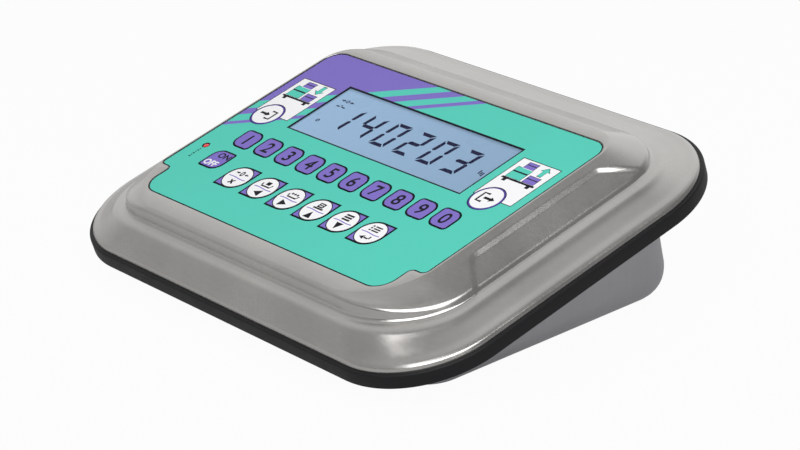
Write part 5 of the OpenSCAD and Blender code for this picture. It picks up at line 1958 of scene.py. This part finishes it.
def tube(profile, sides):
    """A ring-shaped body from a closed list of (radius, height) points, counter-clockwise seen with
    the radius to the right and the height up."""
    verts = [v for radius, z in profile for v in hoop(radius, z, sides)]
    faces = []
    count = len(profile)
    for i in range(count):
        low = i * sides
        high = ((i + 1) % count) * sides
        for j in range(sides):
            ahead = (j + 1) % sides
            faces.append((low + j, low + ahead, high + ahead, high + j))
    return verts, faces


# Eased edges of the glands and of their rubber, and the gap where one piece goes round another
GLAND_EDGE = 0.0005
GRIP_EDGE = 0.0004
GLAND_GAP = 0.0002
CAP_GAP = 0.00005
# How far the rubber of a gland stands up, and the grip ribs of its nut: how many, and half
# their depth
GRIP_H = 0.006
CAP_RIBS = 20
RIB_SWING = 0.00022


def gland_bore(s):
    return s.fittings.cable_r + 1.2 * s.cover.sheet_t


class OBJECT_OT_indicator_glands(Operator):
    """Makes the four cable glands and the vent plug in the rear wall"""
    bl_idname = "object.indicator_glands"
    bl_label = "Glands"

    def execute(self, context):
        s = settings(context)
        f = s.fittings
        place = panel_place(s)
        nylon = skinned("black_nylon", s.colours.nylon, 0.45, scale=90.0, skin=2200.0, change=0.2,
                        spread=0.15, bump=0.3, depth=0.00004)
        spots = gland_places(s)
        lean = spots[0].to_euler().x
        points = [spot.translation for spot in spots]
        sheet = s.cover.sheet_t
        bore = gland_bore(s)
        thread_r = f.gland_thread_r
        neck_r = thread_r - sheet / 2
        low = f.gland_hex_h + f.gland_nut_h / 2
        stem = f.locknut_h + rear_wall_depth(s) + f.locknut_h / 2
        hexagon = six_sided(f.gland_hex_r, bore + GLAND_GAP, 0.0, f.gland_hex_h)
        core = tube([(bore, -stem), (thread_r - GLAND_EDGE, -stem), (thread_r, GLAND_EDGE - stem),
                     (thread_r, GLAND_GAP), (neck_r, GLAND_GAP), (neck_r, low), (bore, low)], 48)
        bodies = repeated("gland_seats", joined_shapes(hexagon, core), points, nylon, lean, place)
        settled(bodies, BODY, "black_plastic", "gland_bodies")
        nuts = repeated("gland_caps", gland_cap(s), points, nylon, lean, place)
        settled(nuts, BODY, "black_plastic", "gland_nuts")
        seal_r = bore + sheet
        top = low + GRIP_H
        rubber = tube([(f.cable_r, low), (seal_r, low), (seal_r, top - GRIP_EDGE),
                       (seal_r - GRIP_EDGE, top), (f.cable_r + GRIP_EDGE, top),
                       (f.cable_r, top - GRIP_EDGE)], 48)
        grips = repeated("gland_grips", rubber, points, rubber_finish(s), lean, place)
        settled(grips, BODY, "rubber", "gland_seals")
        vent = repeated("vent_cap", vent_shape(s), [vent_place(s).translation], nylon, lean, place)
        settled(vent, BODY, "black_plastic", "vent_plug")
        return {"FINISHED"}


def rear_wall_depth(s):
    """The case sheet measured along the way of a gland."""
    turn = rear_wall_place(s, 0.0).to_euler().x
    lean = -math.pi / 2 - turn
    return s.cover.sheet_t * (math.cos(lean) + math.sin(lean))


def six_sided(corner_r, bore, low, high):
    """A six-sided collar whose end corners are eased, round a bore."""
    return tube([(bore, low), (corner_r, low), (corner_r, high - GLAND_EDGE),
                 (corner_r - GLAND_EDGE, high), (bore, high)], 6)


def gland_cap(s):
    """A domed nut with grip ribs over a six-sided foot."""
    f = s.fittings
    sheet = s.cover.sheet_t
    base = f.gland_hex_h
    top = base + f.gland_nut_h
    middle = base + f.gland_nut_h / 2
    bore = gland_bore(s) + sheet + CAP_GAP
    wide_bore = f.gland_thread_r - sheet / 2 + CAP_GAP
    wide = f.gland_thread_r + sheet / 2
    side = wide - GLAND_GAP
    foot = six_sided(f.gland_hex_r - sheet / 2, wide_bore, base, middle)
    dome = [(wide - GLAND_GAP / 2, top - sheet * 1.6), (wide - sheet * 0.3, top - sheet * 0.7),
            (f.gland_thread_r - sheet * 0.4, top - sheet * 0.12), (f.gland_thread_r - sheet, top)]
    profile = [(wide_bore, base + GLAND_EDGE), (side, base + GLAND_EDGE), (side, middle)] + dome
    profile += [(bore, top), (bore, middle), (wide_bore, middle)]
    verts, faces = tube(profile, 60)
    shaped = []
    for x, y, z in verts:
        r = math.hypot(x, y)
        if r > wide - sheet * 0.5 and middle < z < top - sheet:
            ribbed = r - RIB_SWING * (1 + math.cos(CAP_RIBS * math.atan2(y, x)))
            x, y = x * ribbed / r, y * ribbed / r
        shaped.append((x, y, z))
    return joined_shapes(foot, (shaped, faces))


# Gap between the vent plug's clip and the wall, depth of its side groove and of its dished top
CLIP_GAP = 0.0001
VENT_GROOVE = 0.0006
VENT_DISH = 0.0004


def vent_shape(s):
    """A low round cap with a groove round its side, and its stem and clip inside the wall."""
    f = s.fittings
    sheet = s.cover.sheet_t
    wall = rear_wall_depth(s)
    r = f.vent_r
    height = f.vent_h
    stem = r * VENT_STEM
    groove = r - VENT_GROOVE
    clip = -wall - CLIP_GAP
    dish = height - VENT_DISH
    profile = [(0.0, -wall - f.locknut_h), (stem, -wall - f.locknut_h),
               (r - sheet, -wall - f.locknut_h * 0.5), (r - sheet, clip), (stem, clip), (stem, 0.0),
               (r, 0.0), (r, height * 0.2), (groove, height * 0.24), (groove, height * 0.4),
               (r, height * 0.44), (r, height * 0.7), (r - sheet * 0.35, height * 0.9),
               (r - sheet, height), (r * 0.45, height), (r * 0.4, dish), (0.0, dish)]
    return turned(profile, 48)


class OBJECT_OT_indicator_inner_finishes(Operator):
    """Gives the pieces inside the case their finishes"""
    bl_idname = "object.indicator_inner_finishes"
    bl_label = "Inner Finishes"

    def execute(self, context):
        even = {"scale": 2600.0, "along": (1.0, 1.0, 1.0)}
        finishes = (
            (skinned("inner_black", (0.03, 0.03, 0.032), 0.5, scale=150.0, change=0.3),
             ("board_parts", "display_frame", "gland_locknuts")),
            (skinned("board_green", (0.02, 0.16, 0.07), 0.35, scale=220.0, change=0.35, spread=0.2),
             ("main_board", "display_board")),
            (skinned("white_sheet", (0.76, 0.77, 0.78), 0.5, scale=90.0, change=0.08),
             ("spacer_sheet", "display_backlight")),
            (skinned("amber_flex", (0.55, 0.3, 0.05), 0.35, scale=260.0, change=0.2),
             ("key_circuit", "keypad_tail", "display_ribbon")),
            (skinned("terminal_green", (0.03, 0.25, 0.1), 0.45, scale=120.0, change=0.2),
             ("terminal_blocks",)),
            (skinned("battery_sleeve", (0.03, 0.05, 0.12), 0.35, scale=70.0, change=0.25,
                     Coat_Weight=0.2, Coat_Roughness=0.2), ("battery_pack",)),
            (metal("inner_steel", (0.6, 0.6, 0.6), 0.3, **even),
             ("snap_domes", "display_screws", "board_screws", "battery_bracket", "bracket_studs",
              "bracket_nuts", "cover_bushes", "foot_bushes", "mount_bushes", "earth_stud",
              "board_standoffs")),
            (metal("inner_brass", (0.72, 0.55, 0.26), 0.3, **even), ("earth_nuts", "display_spacers")))
        for material, names in finishes:
            for name in names:
                data = frame["nodes"][name].data
                data.materials.clear()
                data.materials.append(material)
        return {"FINISHED"}


class OBJECT_OT_indicator_stage(Operator):
    """Makes the pale floor, the soft light and the camera"""
    bl_idname = "object.indicator_stage"
    bl_label = "Stage"

    def execute(self, context):
        s = settings(context)
        studio = s.studio
        scene = context.scene
        scene.view_settings.view_transform = "Standard"
        make_floor(studio)
        make_world(scene, studio)
        make_lamp(studio)
        make_camera(scene, studio)
        return {"FINISHED"}


def white_surroundings(tree, lit, white, seen, mirrored):
    """Mixes white into what is lit, for the camera and through glass, and by a share for metal."""
    rays = new_node(tree, "ShaderNodeLightPath").outputs
    direct = math_node(tree, "MAXIMUM", rays["Is Camera Ray"], rays["Is Transmission Ray"])
    share = math_node(tree, "MAXIMUM", math_node(tree, "MULTIPLY", direct, seen),
                      math_node(tree, "MULTIPLY", rays["Is Glossy Ray"], mirrored))
    mix = new_node(tree, "ShaderNodeMixShader", Fac=share)
    fed(tree, mix.inputs[1], lit.outputs[0])
    fed(tree, mix.inputs[2], white.outputs[0])
    return mix.outputs[0]


# From the middle of the floor to each of its sides
FLOOR_REACH = 3.0


def make_floor(studio):
    corners = rectangle(-FLOOR_REACH, -FLOOR_REACH, FLOOR_REACH, FLOOR_REACH)
    finish = Finish("pale_floor", MOTTLE, Tone=(0.5, 0.5, 0.5, 1.0), Scale=3.0, Change=0.02,
                    Roughness=0.8, Spread=0.05)
    tree = finish.tree
    material = finish.feed(Specular_IOR_Level=0.0)
    surface = white_surroundings(tree, finish.surface, new_node(tree, "ShaderNodeEmission"),
                                 studio.floor_seen, studio.white_mirrored)
    fed(tree, tree.nodes["Material Output"].inputs["Surface"], surface)
    floor = new_piece("floor", [(x, y, 0) for x, y in corners], [(0, 1, 2, 3)], [material])


WHITE = (1.0, 1.0, 1.0, 1.0)
# Where the studio's light starts and stops rising from the front to the rear
RISE_ENDS = (-0.8, 0.7)


def make_world(scene, studio):
    """A studio that is light at the left and the rear, dim at the right, and white to the camera."""
    world = bpy.data.worlds.new("studio")
    world.use_nodes = True
    scene.world = world
    tree = world.node_tree
    way = new_node(tree, "ShaderNodeTexCoord").outputs["Generated"]
    parts = new_node(tree, "ShaderNodeSeparateXYZ", Vector=way).outputs
    edge = studio.shade_edge
    across = ranged(tree, parts["X"], (edge, -edge), (studio.dim_side, 1.0), True)
    along = ranged(tree, parts["Y"], RISE_ENDS, (studio.dim_front, studio.light_rear))
    light = tree.nodes["Background"]
    light.inputs["Color"].default_value = WHITE
    fed(tree, light.inputs["Strength"], math_node(tree, "MULTIPLY", across, along))
    white = new_node(tree, "ShaderNodeBackground", Color=WHITE)
    surface = white_surroundings(tree, light, white, 1.0, studio.white_mirrored)
    fed(tree, tree.nodes["World Output"].inputs["Surface"], surface)


# Width and height of the soft box, and its place
LAMP_SIZE = (2.4, 2.0)
LAMP_SPOT = (1.3, -0.9, 1.3)


def make_lamp(studio):
    """One wide soft box, high on the camera's side."""
    data = bpy.data.lights.new("soft_box", "AREA")
    data.shape = "RECTANGLE"
    data.size, data.size_y = LAMP_SIZE
    data.energy = studio.lamp_power
    lamp = new_object("soft_box", data)
    lamp.location = LAMP_SPOT
    way = Vector(studio.target) - Vector(LAMP_SPOT)
    lamp.rotation_euler = way.to_track_quat("-Z", "Y").to_euler()


# The camera's sensor in millimetres, and the nearest and farthest that it sees in metres
SENSOR_WIDTH = 36.0
CLIP_ENDS = (0.05, 20.0)


def make_camera(scene, studio):
    a, e = studio.azimuth, studio.elevation
    back = Vector((math.sin(a) * math.cos(e), -math.cos(a) * math.cos(e), math.sin(e)))
    across = Vector((0, 0, 1)).cross(back).normalized()
    rise = back.cross(across)
    turn = Matrix((across, rise, back)).transposed() @ Matrix.Rotation(studio.roll, 3, "Z")
    spot = Vector(studio.target) + back * studio.distance
    data = bpy.data.cameras.new("camera")
    data.lens = studio.lens
    data.sensor_width = SENSOR_WIDTH
    data.clip_start, data.clip_end = CLIP_ENDS
    camera = new_object("camera", data)
    camera.matrix_world = Matrix.Translation(spot) @ turn.to_4x4()
    scene.camera = camera


class VIEW3D_PT_indicator(Panel):
    """Lists the operators in the sidebar"""
    bl_label = "Weighing Indicator"
    bl_idname = "VIEW3D_PT_indicator"
    bl_space_type = "VIEW_3D"
    bl_region_type = "UI"
    bl_category = "Indicator"

    def draw(self, context):
        for maker in MAKERS:
            self.layout.operator(maker.bl_idname)


MAKERS = (OBJECT_OT_indicator_cover, OBJECT_OT_indicator_case, OBJECT_OT_indicator_seal,
          OBJECT_OT_indicator_film, OBJECT_OT_indicator_number_keys, OBJECT_OT_indicator_power_key,
          OBJECT_OT_indicator_function_keys, OBJECT_OT_indicator_round_keys, OBJECT_OT_indicator_display,
          OBJECT_OT_indicator_lamp, OBJECT_OT_indicator_screws, OBJECT_OT_indicator_feet,
          OBJECT_OT_indicator_glands, OBJECT_OT_indicator_inner_finishes, OBJECT_OT_indicator_stage)
GROUPS = {"indicator_keypad": KeypadSizes, "indicator_display": DisplaySizes, "indicator_cover": CoverSizes,
          "indicator_case": CaseSizes, "indicator_fittings": FittingSizes, "indicator_colours": Colours,
          "indicator_studio": StudioSettings}
CLASSES = tuple(GROUPS.values()) + MAKERS + (VIEW3D_PT_indicator,)


def register():
    for item in CLASSES:
        bpy.utils.register_class(item)
    for name, group in GROUPS.items():
        setattr(bpy.types.Scene, name, PointerProperty(type=group))


def unregister():
    for name in GROUPS:
        delattr(bpy.types.Scene, name)
    for item in reversed(CLASSES):
        bpy.utils.unregister_class(item)


def main():
    """Makes every piece."""
    register()
    for maker in MAKERS:
        group, name = maker.bl_idname.split(".")
        getattr(getattr(bpy.ops, group), name)()


if __name__ == "__main__":
    main()
